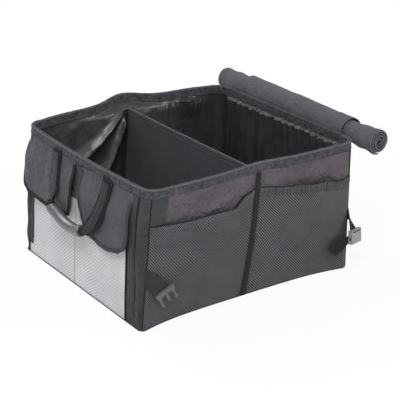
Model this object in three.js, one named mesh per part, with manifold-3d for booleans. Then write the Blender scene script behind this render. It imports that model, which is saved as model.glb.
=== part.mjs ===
// Collapsible car trunk organizer: a soft two-compartment box with board-stiffened walls, mesh pockets on the
// front and on the left end, carry handles on both ends, four corner straps and a cover rolled up on the right rim.
// Units are millimetres. X runs along the long walls, Y along the ends and Z up; the origin is the centre of the
// underside. The front wall looks along -Y and the pocketed end along -X.

import * as THREE from 'three';
import * as BufferGeometryUtils from 'three/addons/utils/BufferGeometryUtils.js';
import Module from 'manifold-3d';

// Box size: the floor and the rim are two rounded rectangles, and the slumped rim sits off centre
const height = 300;
const baseLength = 538;
const baseWidth = 488;
const rimLength = 524;
const rimWidth = 498;
const rimShiftX = 9;
const rimShiftY = -6;
const baseCornerRadius = 12;
const rimCornerRadius = 34;

// How far the soft walls leave those rectangles, measured outwards
const backBelly = 17;
const backPeak = 28;
const backPeakWidth = 0.25;
const backPeakRise = 8;
const leftBelly = 8;
const frontPull = 12;
const frontPullWidth = 0.3;
const frontTuck = 18;

// The fold line in the middle of each wall, at the floor and at the rim
const longSeamBase = -6;
const longSeamRim = 18;
const endSeamBase = 22;
const endSeamRim = 4;

// Layers of a wall, from the outside in
const shellThickness = 1.4;
const boardThickness = 2.4;
const linerThickness = 0.9;
const clear = 0.35;
const seamGap = 0.001;
const boardEdge = 6;
const boardFoldGap = 5;

// Floor
const bottomThickness = 1.4;
const floorBoardThickness = 3;
const floorLinerThickness = 0.9;

// Rim binding
const rimTapeThickness = 1;
const rimTapeHeight = 17;

// Liner folds: the back liner is drawn in to the divider, and the right liner is gathered
const linerDrawIn = 24;
const linerDrawWidth = 0.3;
const linerDrawLow = 110;
const linerDrawGap = 2;
const gatherDepth = 5;
const gatherCount = 13;

// Divider
const dividerHeight = 282;
const dividerBoardThickness = 3;
const dividerFabricThickness = 1;
const dividerTapeWidth = 0.06;
const dividerTapeThickness = 1.1;
const dividerFloorGap = 0.4;

// Front pockets
const meshThickness = 0.7;
const tapeThickness = 0.8;
const frontSlack = 14;
const frontPocketLow = 3;
const frontTapeHeight = 15;
const centreTapeHalf = 0.026;
const centreTapeThickness = 1.2;
const cornerTapeLow = 230;
const cornerTapeReach = 0.05;

// End pocket and its two flaps, placed along Y
const endPocketNear = -185;
const endPocketFar = 214;
const endPocketHeight = 215;
const endSlack = 7;
const endTapeHeight = 12;
const flapThickness = 1;
const flapLift = 12;
const flapDrop = 16;
const flapBoundTop = 264;
const flapTapeWidth = 9;
const leftFlapInner = 12;
const rightFlapInner = -13;
const rightFlapOuter = -206;

// Carry handles: webbing that runs through a moulded tube
const webbingThickness = 1.8;
const webbingWidth = 38;
const gripRadius = 12.2;
const gripBore = 7.6;
const gripWebbingWidth = 11.8;
const gripWebbingThickness = 3;
const handleAxisHeight = height - 12;

// Corner straps and their buckle halves
const strapThickness = 1.6;
const strapWidth = 34;
const buckleThickness = 5;
const buckleBarLength = 44;
const buckleBarWidth = 9;
const buckleProngLength = 24;
const buckleProngWidth = 5;
const socketLength = 30;
const socketThickness = 9;
const socketWall = 2;

// Rolled cover
const rollRadius = 28;
const rollCore = 6;
const rollTurns = 4;
const rollGap = 1.2;
const rollFar = [311, 272, 301];
const rollNear = [304, -288, 299];
const keeperThickness = 1.3;
const keeperFar = 196;
const keeperNear = -214;
const keeperBandWidth = 46;
const hingeFar = 204;
const hingeNear = -205;
const hingeThickness = 1;
const hingeDrop = 14;

// Fabric colours and finishes
const finishes = {
  shell: { color: 0x5e595f, roughness: 0.85, metalness: 0 },
  darkShell: { color: 0x3c3b40, roughness: 0.85, metalness: 0 },
  darkMesh: { color: 0x4a4950, roughness: 0.8, metalness: 0 },
  lightMesh: { color: 0xc0bfc4, roughness: 0.75, metalness: 0 },
  liner: { color: 0x1d1c21, roughness: 0.3, metalness: 0 },
  tape: { color: 0x4a4a4e, roughness: 0.8, metalness: 0 },
  blackTape: { color: 0x161618, roughness: 0.8, metalness: 0 },
  webbing: { color: 0x2c2b30, roughness: 0.8, metalness: 0 },
  board: { color: 0x6f6250, roughness: 0.9, metalness: 0 },
  cover: { color: 0x58575c, roughness: 0.85, metalness: 0 },
  grip: { color: 0x8e9196, roughness: 0.35, metalness: 0.2 },
  buckle: { color: 0x55565a, roughness: 0.45, metalness: 0 },
};

// Values that follow from the sizes above
const wallTop = height - rimTapeThickness - clear;
const boardDepth = shellThickness + clear;
const linerDepth = boardDepth + boardThickness + clear;
const wallDepth = linerDepth + linerThickness;
const shellLow = bottomThickness + clear;
const wallLow = shellLow + floorBoardThickness + clear;
const floorTop = wallLow + floorLinerThickness;
const arcShare = 0.94;
const levelSpacing = 75;
const rimTapeLow = wallTop - rimTapeHeight - clear;
const flapTop = rimTapeLow - clear;
const linerDrawHigh = dividerHeight - backPeakRise - linerDrawGap;

const wasm = await Module();
wasm.setup();

const organizer = new THREE.Group();

function mix(a, b, t) {
  return a + (b - a) * t;
}

function ease(t) {
  const s = Math.min(1, Math.max(0, t));
  return s * s * (3 - 2 * s);
}

function hump(w, width) {
  return Math.exp(-((w / width) ** 2));
}

// An eased curve through [place, value] pairs
function profile(points) {
  return (place) => {
    const next = points.findIndex(([at]) => at >= place);
    if (next === 0) return points[0][1];
    if (next === -1) return points.at(-1)[1];
    const [a, valueA] = points[next - 1];
    const [b, valueB] = points[next];
    return mix(valueA, valueB, ease((place - a) / (b - a)));
  };
}

function add(name, geometry, finish) {
  const mesh = new THREE.Mesh(geometry, new THREE.MeshStandardMaterial(finishes[finish]));
  mesh.name = name;
  organizer.add(mesh);
  return mesh;
}

// Turns a closed triangle list so that its faces point out
function closedBody(positions, index) {
  let volume = 0;
  const corner = (n) => new THREE.Vector3().fromArray(positions, 3 * n);
  for (let n = 0; n < index.length; n += 3) {
    const [a, b, c] = [corner(index[n]), corner(index[n + 1]), corner(index[n + 2])];
    volume += a.dot(b.cross(c));
  }
  if (volume < 0) index.reverse();
  const geometry = new THREE.BufferGeometry();
  geometry.setAttribute('position', new THREE.Float32BufferAttribute(positions, 3));
  geometry.setIndex(index);
  return geometry;
}

// A sheet with thickness: two matching grids of points, joined along their free edges. With loop, the last row
// joins the first.
function solidBetween(rows, columns, faceA, faceB, loop = false) {
  const positions = [];
  for (const face of [faceA, faceB]) {
    for (let i = 0; i < rows; i += 1) {
      for (let j = 0; j < columns; j += 1) positions.push(...face(i, j));
    }
  }
  const index = [];
  const at = (face, i, j) => (face * rows + (i % rows)) * columns + j;
  const quad = (a, b, c, d) => index.push(a, b, c, a, c, d);
  const rowSteps = loop ? rows : rows - 1;
  const last = columns - 1;
  for (let i = 0; i < rowSteps; i += 1) {
    for (let j = 0; j < last; j += 1) {
      quad(at(0, i, j), at(0, i + 1, j), at(0, i + 1, j + 1), at(0, i, j + 1));
      quad(at(1, i, j), at(1, i, j + 1), at(1, i + 1, j + 1), at(1, i + 1, j));
    }
    quad(at(0, i + 1, 0), at(0, i, 0), at(1, i, 0), at(1, i + 1, 0));
    quad(at(0, i, last), at(0, i + 1, last), at(1, i + 1, last), at(1, i, last));
  }
  if (!loop) {
    const end = rows - 1;
    for (let j = 0; j < last; j += 1) {
      quad(at(0, 0, j), at(0, 0, j + 1), at(1, 0, j + 1), at(1, 0, j));
      quad(at(0, end, j + 1), at(0, end, j), at(1, end, j), at(1, end, j + 1));
    }
  }
  return closedBody(positions, index);
}

// The four walls. Each has the axis it runs along, the sign of its outward direction, its half length and the
// distance of its face at the floor and at the rim, where its middle lies, its middle fold line, and its bow.
const walls = {
  front: {
    axis: 0,
    out: -1,
    half: [baseLength / 2, rimLength / 2],
    face: [baseWidth / 2, rimWidth / 2 - rimShiftY],
    middle: rimShiftX,
    seam: [longSeamBase, longSeamRim],
    bow: (w, v) => -frontPull * hump(w, frontPullWidth) * v * v - frontTuck * (1 - w ** 4) * (1 - v) ** 2,
    rise: () => 0,
    divisions: 12,
    extraLevels: [linerDrawHigh, rimTapeLow],
  },
  back: {
    axis: 0,
    out: 1,
    half: [baseLength / 2, rimLength / 2],
    face: [baseWidth / 2, rimWidth / 2 + rimShiftY],
    middle: rimShiftX,
    seam: [longSeamBase, longSeamRim],
    bow: (w, v) => (backBelly * (1 - w ** 4) + backPeak * hump(w, backPeakWidth)) * v ** 1.5,
    rise: (w) => backPeakRise * hump(w, backPeakWidth),
    divisions: 16,
    extraLevels: [linerDrawHigh, rimTapeLow],
  },
  left: {
    axis: 1,
    out: -1,
    half: [baseWidth / 2, rimWidth / 2],
    face: [baseLength / 2, rimLength / 2 - rimShiftX],
    middle: rimShiftY,
    seam: [endSeamBase, endSeamRim],
    bow: (w, v) => leftBelly * (1 - w * w) * v,
    rise: () => 0,
    divisions: 12,
  },
  right: {
    axis: 1,
    out: 1,
    half: [baseWidth / 2, rimWidth / 2],
    face: [baseLength / 2, rimLength / 2 + rimShiftX],
    middle: rimShiftY,
    seam: [endSeamBase, endSeamRim],
    bow: () => 0,
    rise: () => 0,
    divisions: 8,
  },
};

// A point of a wall: u runs from -1 at one corner seam over 0 at the fold line to 1 at the other, z is the height
// and depth is measured inwards from the outer face. The last share of u at each end is the rounded corner.
function wallPoint(wall, u, z, depth) {
  const v = z / wallTop;
  const half = mix(...wall.half, v);
  const radius = mix(baseCornerRadius, rimCornerRadius, v);
  const middle = mix(0, wall.middle, v);
  const face = mix(...wall.face, v);
  const w = Math.max(-1, Math.min(1, u / arcShare));
  const turn = Math.max(0, (Math.abs(u) - arcShare) / (1 - arcShare)) * (Math.PI / 4);
  const straight = half - radius;
  const fold = (mix(...wall.seam, v) - middle) * (1 - w * w);
  const along = middle + w * straight + fold + Math.sign(u) * (radius - depth) * Math.sin(turn);
  const bow = Math.abs(u) > arcShare ? 0 : wall.bow(w, v);
  const reach = face - radius + (radius - depth) * Math.cos(turn) + bow;
  const point = [0, 0, z + wall.rise(w) * v];
  point[wall.axis] = along;
  point[1 - wall.axis] = wall.out * reach;
  return point;
}

// The u of a place along the wall at a height
function uAt(wall, along, z) {
  let low = -1;
  let high = 1;
  for (let n = 0; n < 40; n += 1) {
    const u = (low + high) / 2;
    if (wallPoint(wall, u, z, 0)[wall.axis] < along) low = u;
    else high = u;
  }
  return (low + high) / 2;
}

// Named edges that every layer of a wall shares, so that the layers stay parallel
const foldHalf = boardFoldGap / 2 / (baseLength / 2);
const foldEdges = [-foldHalf, foldHalf];
const dividerEdges = [-dividerTapeWidth, dividerTapeWidth];
const centreTapeEdges = [-centreTapeHalf, centreTapeHalf];
walls.front.edges = [...foldEdges, ...dividerEdges, ...centreTapeEdges, -arcShare + cornerTapeReach];
walls.back.edges = [...foldEdges, ...dividerEdges];
walls.right.edges = foldEdges;
const endPocketU = [endPocketNear, endPocketFar].map((y) => uAt(walls.left, y, endPocketHeight / 2));
const leftFlapU = [uAt(walls.left, leftFlapInner, endPocketHeight), 0.985];
const rightFlapU = [rightFlapOuter, rightFlapInner].map((y) => uAt(walls.left, y, endPocketHeight));
walls.left.edges = [...foldEdges, ...endPocketU, ...leftFlapU, ...rightFlapU];

// All the lines of a wall's grid between two places, both included
function stations(wall, from = -1 + seamGap, to = 1 - seamGap) {
  const lines = [from, to, 0, ...wall.edges];
  for (let n = 0; n <= wall.divisions; n += 1) lines.push(mix(-arcShare, arcShare, n / wall.divisions));
  for (const share of [1 / 3, 2 / 3]) {
    const u = mix(arcShare, 1, share);
    lines.push(-u, u);
  }
  const spacing = 0.006;
  const inside = lines.filter((u) => u >= from && u <= to).sort((a, b) => a - b);
  const fixed = [from, to, ...wall.edges, 0];
  return inside.filter((u, n) => {
    if (fixed.includes(u)) return inside.indexOf(u) === n;
    return fixed.every((edge) => Math.abs(edge - u) > spacing);
  });
}

// The heights of a wall's grid between two heights, both included
function levels(wall, low, high) {
  const heights = [...(wall.extraLevels ?? [])];
  for (let z = levelSpacing; z < wallTop; z += levelSpacing) heights.push(z);
  const inside = heights.filter((z) => z > low + 1 && z < high - 1).sort((a, b) => a - b);
  return [low, ...inside, high];
}

// The heights of a sheet whose upper edge varies: even rows, with one row where the tape on its edge ends
function pocketLevels(low, highAt, leg) {
  return (u) => [0, 0.33, 0.67, 1].map((share) => mix(low, highAt(u) - leg, share)).concat(highAt(u));
}

// A sheet that follows a wall. Its heights and its depth may vary along it.
function wallSheet(wall, lines, heights, depth, thickness) {
  const heightsAt = typeof heights === 'function' ? heights : () => heights;
  const depthAt = typeof depth === 'function' ? depth : () => depth;
  const face = (extra) => (i, j) => {
    const z = heightsAt(lines[i])[j];
    return wallPoint(wall, lines[i], z, depthAt(lines[i], z) + extra);
  };
  return solidBetween(lines.length, heightsAt(lines[0]).length, face(0), face(thickness));
}

// A tape folded over the edge of a sheet. Each frame has the edge's middle point, the direction into the sheet and
// the direction across its thickness.
function foldedTape(frames, sheetThickness, leg, thickness, loop = false) {
  const inside = sheetThickness / 2 + clear;
  const outside = inside + thickness;
  const outerLine = [[leg, outside], [-clear - thickness, outside], [-clear - thickness, -outside], [leg, -outside]];
  const innerLine = [[leg, inside], [-clear, inside], [-clear, -inside], [leg, -inside]];
  const place = (line) => (i, j) => {
    const { point, into, across } = frames[i];
    const [a, b] = line[j];
    return point.clone().addScaledVector(into, a).addScaledVector(across, b).toArray();
  };
  return solidBetween(frames.length, outerLine.length, place(outerLine), place(innerLine), loop);
}

// Frames for a tape along an upper edge of a wall sheet, whose legs follow the sheet down
function topEdgeFrames(wall, lines, edgeAt, depthAt, belowAt) {
  return lines.map((u) => {
    const z = edgeAt(u);
    const middle = depthAt(u, z);
    const point = new THREE.Vector3(...wallPoint(wall, u, z, middle));
    const across = new THREE.Vector3(...wallPoint(wall, u, z, middle - 1)).sub(point).normalize();
    const lower = belowAt(u);
    const below = new THREE.Vector3(...wallPoint(wall, u, lower, depthAt(u, lower)));
    return { point, into: below.sub(point).normalize(), across };
  });
}

// The outline of the box at a height and depth, anticlockwise from above
function outline(z, depth, parts) {
  const points = [];
  for (const [wall, from, to] of parts) {
    const lines = stations(wall, Math.min(from, to), Math.max(from, to));
    if (from > to) lines.reverse();
    for (const u of lines) {
      const [x, y] = wallPoint(wall, u, z, depth);
      const before = points.at(-1);
      if (!before || Math.hypot(before.x - x, before.y - y) > 0.5) points.push(new THREE.Vector2(x, y));
    }
  }
  if (points[0].distanceTo(points.at(-1)) < 0.5) points.pop();
  return points;
}

// A flat plate from an outline
function plate(points, low, thickness) {
  const geometry = new THREE.ExtrudeGeometry(new THREE.Shape(points), { depth: thickness, bevelEnabled: false });
  return geometry.translate(0, 0, low);
}

// A flat band that follows points, with its width direction at each point
function band(points, acrossAt, widthAt, thicknessAt) {
  const side = (sign) => (i, j) => {
    const point = points[i];
    const next = points[Math.min(i + 1, points.length - 1)];
    const before = points[Math.max(i - 1, 0)];
    const across = acrossAt(i).clone().normalize();
    const normal = next.clone().sub(before).cross(across).normalize();
    return point.clone()
      .addScaledVector(across, (j - 0.5) * widthAt(i))
      .addScaledVector(normal, (sign * thicknessAt(i)) / 2)
      .toArray();
  };
  return solidBetween(points.length, 2, side(1), side(-1));
}

// Outer shell, one panel for each wall and one for the underside
const wallNames = { front: 'front', back: 'back', left: 'left_end', right: 'right_end' };
for (const [key, label] of Object.entries(wallNames)) {
  const wall = walls[key];
  const finish = key === 'left' ? 'darkShell' : 'shell';
  const panel = wallSheet(wall, stations(wall), levels(wall, shellLow, wallTop), 0, shellThickness);
  add(`shell_${label}`, panel, finish);
}
const wholeRing = [
  [walls.front, -1, 1],
  [walls.right, -1, 1],
  [walls.back, 1, -1],
  [walls.left, 1, -1],
];
add('shell_bottom', plate(outline(0, 0, wholeRing), 0, bottomThickness), 'darkShell');

// Wall boards, in halves that fold at the middle of each wall
const boardEnd = arcShare - 0.001;
for (const [key, label] of Object.entries(wallNames)) {
  const wall = walls[key];
  const halves = wall.axis === 0 ? ['left', 'right'] : ['near', 'far'];
  const spans = [[-boardEnd, -foldHalf], [foldHalf, boardEnd]];
  halves.forEach((half, n) => {
    const lines = stations(wall, ...spans[n]);
    const heights = levels(wall, wallLow, wallTop - boardEdge);
    add(`board_${label}_${half}`, wallSheet(wall, lines, heights, boardDepth, boardThickness), 'board');
  });
}

// Floor boards, one under each compartment
const leftRing = [[walls.front, -1, -foldHalf], [walls.back, -foldHalf, -1], [walls.left, 1, -1]];
const rightRing = [[walls.front, foldHalf, 1], [walls.right, -1, 1], [walls.back, 1, foldHalf]];
for (const [name, ring] of [['floor_board_left', leftRing], ['floor_board_right', rightRing]]) {
  add(name, plate(outline(shellLow, boardDepth, ring), shellLow, floorBoardThickness), 'board');
}

// Liner: the back one is drawn in towards the divider, the right one hangs in gathers from its upper edge
function backLinerDepth(u, z) {
  const rise = ease((z - linerDrawLow) / (linerDrawHigh - linerDrawLow));
  const release = 1 - ease((z - linerDrawHigh) / (rimTapeLow - linerDrawHigh));
  return linerDepth + linerDrawIn * hump(u, linerDrawWidth) * rise * release;
}

function rightLinerDepth(u, z) {
  const fade = 1 - ease((Math.abs(u) - 0.85) / 0.09);
  const wave = 0.5 - 0.5 * Math.cos(gatherCount * Math.PI * (u + 1));
  return linerDepth + gatherDepth * wave * fade * ease(z / wallTop);
}

function addLiner(label, wall, lines, high, depth) {
  add(`liner_${label}`, wallSheet(wall, lines, levels(wall, wallLow, high), depth, linerThickness), 'liner');
}

const gatherLines = [];
for (let n = 0; n <= 4 * gatherCount; n += 1) gatherLines.push(mix(-arcShare, arcShare, n / (4 * gatherCount)));
for (const share of [1 / 3, 2 / 3, 1 - seamGap / (1 - arcShare)]) {
  const u = mix(arcShare, 1, share);
  gatherLines.push(-u, u);
}
gatherLines.sort((p, q) => p - q);
addLiner('front', walls.front, stations(walls.front), wallTop, linerDepth);
addLiner('back', walls.back, stations(walls.back), wallTop, backLinerDepth);
addLiner('left_end', walls.left, stations(walls.left), wallTop, linerDepth);
addLiner('right_end', walls.right, gatherLines, rimTapeLow, rightLinerDepth);
const floorOutline = outline(wallLow, wallDepth + clear, wholeRing);
add('liner_floor', plate(floorOutline, wallLow, floorLinerThickness), 'liner');

// Rim binding, one tape folded over the whole rim
const rimMiddle = wallDepth / 2;
const rimFrames = wholeRing.flatMap(([wall, from, to]) => {
  const lines = stations(wall);
  if (from > to) lines.reverse();
  const lastRow = levels(wall, wallLow, wallTop).at(-2);
  return topEdgeFrames(wall, lines, () => wallTop, () => rimMiddle, () => lastRow);
});
add('rim_binding', foldedTape(rimFrames, wallDepth + clear, rimTapeHeight, rimTapeThickness, true), 'tape');

// Divider: a board in a folded fabric cover that stands between two tapes on the front and back liners
const dividerLow = floorTop + dividerFloorGap;
const frontTapeDepth = () => wallDepth + clear;
const backTapeDepth = (u, z) => backLinerDepth(u, z) + linerThickness + clear;
for (const [side, depth] of [['front', frontTapeDepth], ['back', backTapeDepth]]) {
  const lines = stations(walls[side], ...dividerEdges);
  const heights = levels(walls[side], floorTop + clear, linerDrawHigh);
  add(`divider_tape_${side}`, wallSheet(walls[side], lines, heights, depth, dividerTapeThickness), 'tape');
}

// The sloping plane of the divider, and where its two ends stop at a height
function dividerX(z) {
  return mix(longSeamBase, longSeamRim, z / wallTop);
}

function dividerEnds(z) {
  const reach = dividerTapeThickness + 2 * clear;
  const tapeZ = Math.min(z, linerDrawHigh);
  const edges = [0, ...dividerEdges, ...foldEdges];
  const near = edges.map((u) => wallPoint(walls.front, u, tapeZ, frontTapeDepth() + reach)[1]);
  const far = edges.map((u) => wallPoint(walls.back, u, tapeZ, backTapeDepth(u, tapeZ) + reach)[1]);
  return [Math.max(...near), Math.min(...far)];
}

const boardHalf = dividerBoardThickness / 2;
const fabricInner = boardHalf + clear;
const fabricOuter = fabricInner + dividerFabricThickness;
const boardHigh = dividerHeight - dividerFabricThickness - clear;

// One face of the divider: offset across, over its levels up to a top, from its front end to its back end
function dividerPoint(offset, z, share, inset) {
  const [near, far] = dividerEnds(z);
  return [dividerX(z) + offset, mix(near + inset, far - inset, share), z];
}

const endInset = 0.6;
const boardHeights = levels(walls.back, dividerLow, boardHigh);
const boardSide = (sign) => (i, j) => dividerPoint(sign * boardHalf, boardHeights[j], i, endInset);
add('divider_board', solidBetween(2, boardHeights.length, boardSide(-1), boardSide(1)), 'board');

// The cover goes up the left face, over the top and down the right face
function coverLine(offset, top) {
  const heights = levels(walls.back, dividerLow, top);
  const up = heights.map((z) => [-offset, z]);
  const back = heights.map((z) => [offset, z]).reverse();
  return [...up, ...back];
}

const coverOuter = coverLine(fabricOuter, dividerHeight);
const coverInner = coverLine(fabricInner, dividerHeight - dividerFabricThickness);
const coverFace = (line) => (i, j) => dividerPoint(line[j][0], line[j][1], i, 0);
add('divider_cover', solidBetween(2, coverOuter.length, coverFace(coverOuter), coverFace(coverInner)), 'cover');

// Front mesh pockets: sewn at the corners, the floor and the middle, and slack at the top
const frontLeftTop = profile([[-0.985, 223], [-0.45, 223], [-0.24, 219], [-0.12, 238], [0, 245]]);
const frontRightTop = profile([[0, 245], [0.35, 237], [0.6, 231], [0.9, 217], [0.985, 221]]);
const standOff = 2 * clear + tapeThickness;

function pocketDepth(span, top, slack) {
  return (u, z) => {
    const share = (u - span[0]) / (span[1] - span[0]);
    const sideways = Math.sin(Math.PI * Math.min(1, Math.max(0, share))) ** 1.3;
    const rise = Math.min(1, z / top(u));
    const upwards = ease(rise * 1.4);
    return -(mix(clear, standOff, rise) + slack * sideways * upwards + meshThickness);
  };
}

const frontPockets = [
  { side: 'left', span: [-0.985, -seamGap * 4], top: frontLeftTop },
  { side: 'right', span: [seamGap * 4, 0.985], top: frontRightTop },
];
for (const { side, span, top } of frontPockets) {
  const lines = stations(walls.front, ...span);
  const depth = pocketDepth(span, top, frontSlack);
  const heights = pocketLevels(frontPocketLow, top, frontTapeHeight);
  add(`front_mesh_${side}`, wallSheet(walls.front, lines, heights, depth, meshThickness), 'darkMesh');
  const middle = (u, z) => depth(u, z) + meshThickness / 2;
  const frames = topEdgeFrames(walls.front, lines, top, middle, (u) => top(u) - frontTapeHeight);
  add(`front_mesh_tape_${side}`, foldedTape(frames, meshThickness, frontTapeHeight, tapeThickness), 'tape');
}

// Tape down the middle of the front, over the inner edges of both pockets
const centreLines = stations(walls.front, -centreTapeHalf, centreTapeHalf);
const centreDepth = (u, z) => {
  const cover = Math.max(
    -pocketDepth(frontPockets[0].span, frontLeftTop, frontSlack)(Math.min(u, 0), z),
    -pocketDepth(frontPockets[1].span, frontRightTop, frontSlack)(Math.max(u, 0), z),
  );
  return -(cover + tapeThickness + 2 * clear + centreTapeThickness);
};
const centreTop = rimTapeLow - clear;
const centreHeights = pocketLevels(frontPocketLow, frontLeftTop, frontTapeHeight)(0).concat(centreTop);
add('front_centre_tape', wallSheet(walls.front, centreLines, centreHeights, centreDepth,
  centreTapeThickness), 'blackTape');

// Ribbed tape that shows above the left front pocket, beside the corner
const cornerLines = stations(walls.front, -0.985, -arcShare + cornerTapeReach);
add('front_corner_tape', wallSheet(walls.front, cornerLines, [cornerTapeLow, rimTapeLow - clear],
  -clear - tapeThickness, tapeThickness), 'tape');

// End pocket of light mesh, stitched down its middle
const endPocketTop = () => endPocketHeight;
const endHalves = [[endPocketU[0], 0], [0, endPocketU[1]]];

function endPocketDepth(u, z) {
  const span = u < 0 ? endHalves[0] : endHalves[1];
  return pocketDepth(span, endPocketTop, endSlack)(u, z);
}

const endPocketLines = stations(walls.left, ...endPocketU);
const endPocketHeights = pocketLevels(frontPocketLow, endPocketTop, endTapeHeight);
add('end_mesh_pocket', wallSheet(walls.left, endPocketLines, endPocketHeights, endPocketDepth,
  meshThickness), 'lightMesh');
const endMiddle = (u, z) => endPocketDepth(u, z) + meshThickness / 2;
const endTapeLow = () => endPocketHeight - endTapeHeight;
const endTapeFrames = topEdgeFrames(walls.left, endPocketLines, endPocketTop, endMiddle, endTapeLow);
add('end_mesh_tape', foldedTape(endTapeFrames, meshThickness, endTapeHeight, tapeThickness), 'tape');

// Flaps over the end pocket, hanging from the rim and standing off the mesh at their lower edge
const flapOffset = profile([
  [endPocketHeight * 0.65, flapDrop], [endPocketHeight + 5, flapLift], [flapTop, 0],
]);

function flapDepth(u, z) {
  return -(clear + flapThickness + flapOffset(z));
}

function flapHeights(low) {
  return (u) => {
    const middle = [0.4, 0.7, 1].map((share) => mix(low(u), flapBoundTop, share));
    return [low(u), low(u) + flapTapeWidth, ...middle, flapTop];
  };
}

const leftFlapLow = profile([
  [leftFlapU[0], 164], [0.16, 156], [0.36, 152], [0.58, 154], [0.83, 152], [0.93, 156], [leftFlapU[1], 168],
]);
const rightFlapLow = profile([
  [rightFlapU[0], 182], [-0.83, 164], [-0.73, 149], [-0.6, 143], [-0.5, 143],
  [-0.36, 148], [-0.27, 156], [-0.17, 174], [rightFlapU[1], 196],
]);

// Frames for a tape that follows a free edge of a flap. The step is a small change of u towards its middle.
function flapEdgeFrames(path, step) {
  const middle = (u, z) => new THREE.Vector3(...wallPoint(walls.left, u, z, flapDepth(u, z) + flapThickness / 2));
  const points = path.map(([u, z]) => middle(u, z));
  return points.map((point, n) => {
    const [u, z] = path[n];
    const sideways = middle(u + step, z).sub(point);
    const upwards = middle(u, z + flapTapeWidth).sub(point);
    const across = sideways.cross(upwards).normalize();
    const along = points[Math.min(points.length - 1, n + 1)].clone().sub(points[Math.max(0, n - 1)]);
    const into = across.clone().cross(along).normalize();
    return { point, into, across };
  });
}

const flaps = [
  { side: 'far', span: leftFlapU, low: leftFlapLow, outer: leftFlapU[1], step: -0.025 },
  { side: 'near', span: rightFlapU, low: rightFlapLow, outer: rightFlapU[0], step: 0.025 },
];
for (const { side, span, low, outer, step } of flaps) {
  const lines = stations(walls.left, ...span);
  add(`flap_${side}`, wallSheet(walls.left, lines, flapHeights(low), flapDepth, flapThickness), 'shell');
  const lower = outer === span[0] ? lines : [...lines].reverse();
  const outerHeights = flapHeights(low)(outer).slice(2, -1).reverse();
  const path = outerHeights.map((z) => [outer, z]);
  for (const u of lower) path.push([u, low(u)]);
  const frames = flapEdgeFrames(path, step);
  add(`flap_tape_${side}`, foldedTape(frames, flapThickness + 2 * clear, flapTapeWidth, tapeThickness), 'blackTape');
}

// Handles: the webbing leaves the rim, runs through the grip and goes back up to the rim. The line is given as
// places along the wall and heights; the grip hangs between the legs, its far end a little higher.
const handleLine = [
  [84, handleAxisHeight], [82, 262], [71, 222], [67, 194], [60, 175],
  [39, 166.5], [6, 157.5], [-30, 156], [-66, 162.5],
  [-88, 172], [-105, 198], [-117, 246], [-122, handleAxisHeight],
];
const gripFirst = 4;
const gripLast = 8;
const samplesPerStep = 3;

function addHandle(name, wall, coverAt) {
  const axisAway = rimTapeThickness + 4 * clear + webbingThickness / 2;
  const overCover = (z) => coverAt(z) + clear + webbingThickness;
  const gripAway = Math.max(...handleLine.map(([, z]) => coverAt(z))) + clear + gripRadius + 1;
  const awayAt = profile([
    [handleLine[gripFirst][1], gripAway],
    [handleLine[gripFirst - 1][1], mix(gripAway, overCover(handleLine[gripFirst - 1][1]), 0.5)],
    [handleLine[gripFirst - 2][1], overCover(handleLine[gripFirst - 2][1])],
    [handleLine[1][1], overCover(handleLine[1][1])],
    [handleAxisHeight, axisAway],
  ]);
  const place = ([y, z]) => new THREE.Vector3(...wallPoint(wall, uAt(wall, y, z), z, -awayAt(z)));
  const line = new THREE.CatmullRomCurve3(handleLine.map(place));
  const points = line.getPoints((handleLine.length - 1) * samplesPerStep);
  const first = gripFirst * samplesPerStep;
  const last = gripLast * samplesPerStep;
  const out = new THREE.Vector3(wall.out, 0, 0);
  const tight = (i) => {
    const outside = Math.max(first - i, i - last, 0);
    return ease(1 - (outside - 1) / (1.5 * samplesPerStep));
  };
  const acrossAt = (i) => {
    const next = points[Math.min(i + 1, points.length - 1)];
    const before = points[Math.max(i - 1, 0)];
    return next.clone().sub(before).cross(out);
  };
  const webbing = band(points, acrossAt, (i) => mix(webbingWidth, gripWebbingWidth, tight(i)),
    (i) => mix(webbingThickness, gripWebbingThickness, tight(i)));
  add(`${name}_webbing`, webbing, 'webbing');
  const ring = new THREE.Shape().absarc(0, 0, gripRadius, 0, 2 * Math.PI);
  ring.holes.push(new THREE.Path().absarc(0, 0, gripBore, 0, 2 * Math.PI, true));
  const tube = new THREE.ExtrudeGeometry(ring, {
    steps: 10,
    curveSegments: 8,
    bevelEnabled: false,
    extrudePath: new THREE.CatmullRomCurve3(points.slice(first, last + 1)),
  });
  add(`${name}_grip`, tube, 'grip');
}

addHandle('left_handle', walls.left, (z) => tapeThickness + 3 * clear - flapDepth(0, z));
addHandle('right_handle', walls.right, () => 0);

// Corner straps: each is sewn into a corner seam of a long wall, hangs down and carries a buckle half. Each row is
// the strap's two edges: the distance from the corner, the height and how far it stands off the wall.
const plugRoot = [135, 101];
const plugRows = [
  [[24, 126, 9], [11, 92, 8]],
  [[44, 106, 13], [18, 82, 12]],
  [[60, 90, 13], [27, 74, 12]],
];
const socketRoot = [151, 118];
const socketRows = [
  [[16, 124, 13], [1, 110, 9]],
  [[19, 92, 20], [-10, 88, 9]],
  [[48, 76, 12], [26, 52, 10]],
  [[68, 62, 8], [43, 41, 7]],
];

// A point before a long wall, at a distance from one of its corners
function beforeWall(wall, corner, [distance, z, away]) {
  const v = z / wallTop;
  const edge = mix(0, wall.middle, v) + corner * mix(...wall.half, v);
  return new THREE.Vector3(edge - corner * distance, wall.out * (mix(...wall.face, v) + away), z);
}

// The plug strap of the front lies over the pocket's edge; the others leave the bare corner seam
function strapEdges(wall, corner, kind) {
  const [root, rows] = kind === 'plug' ? [plugRoot, plugRows] : [socketRoot, socketRows];
  const overMesh = wall === walls.front && kind === 'plug' ? standOff + meshThickness : 0;
  const rootDepth = -(overMesh + clear + strapThickness / 2);
  const sewn = root.map((z) => new THREE.Vector3(...wallPoint(wall, corner, z, rootDepth)));
  return [sewn, ...rows.map((edges) => edges.map((edge) => beforeWall(wall, corner, edge)))];
}

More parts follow.
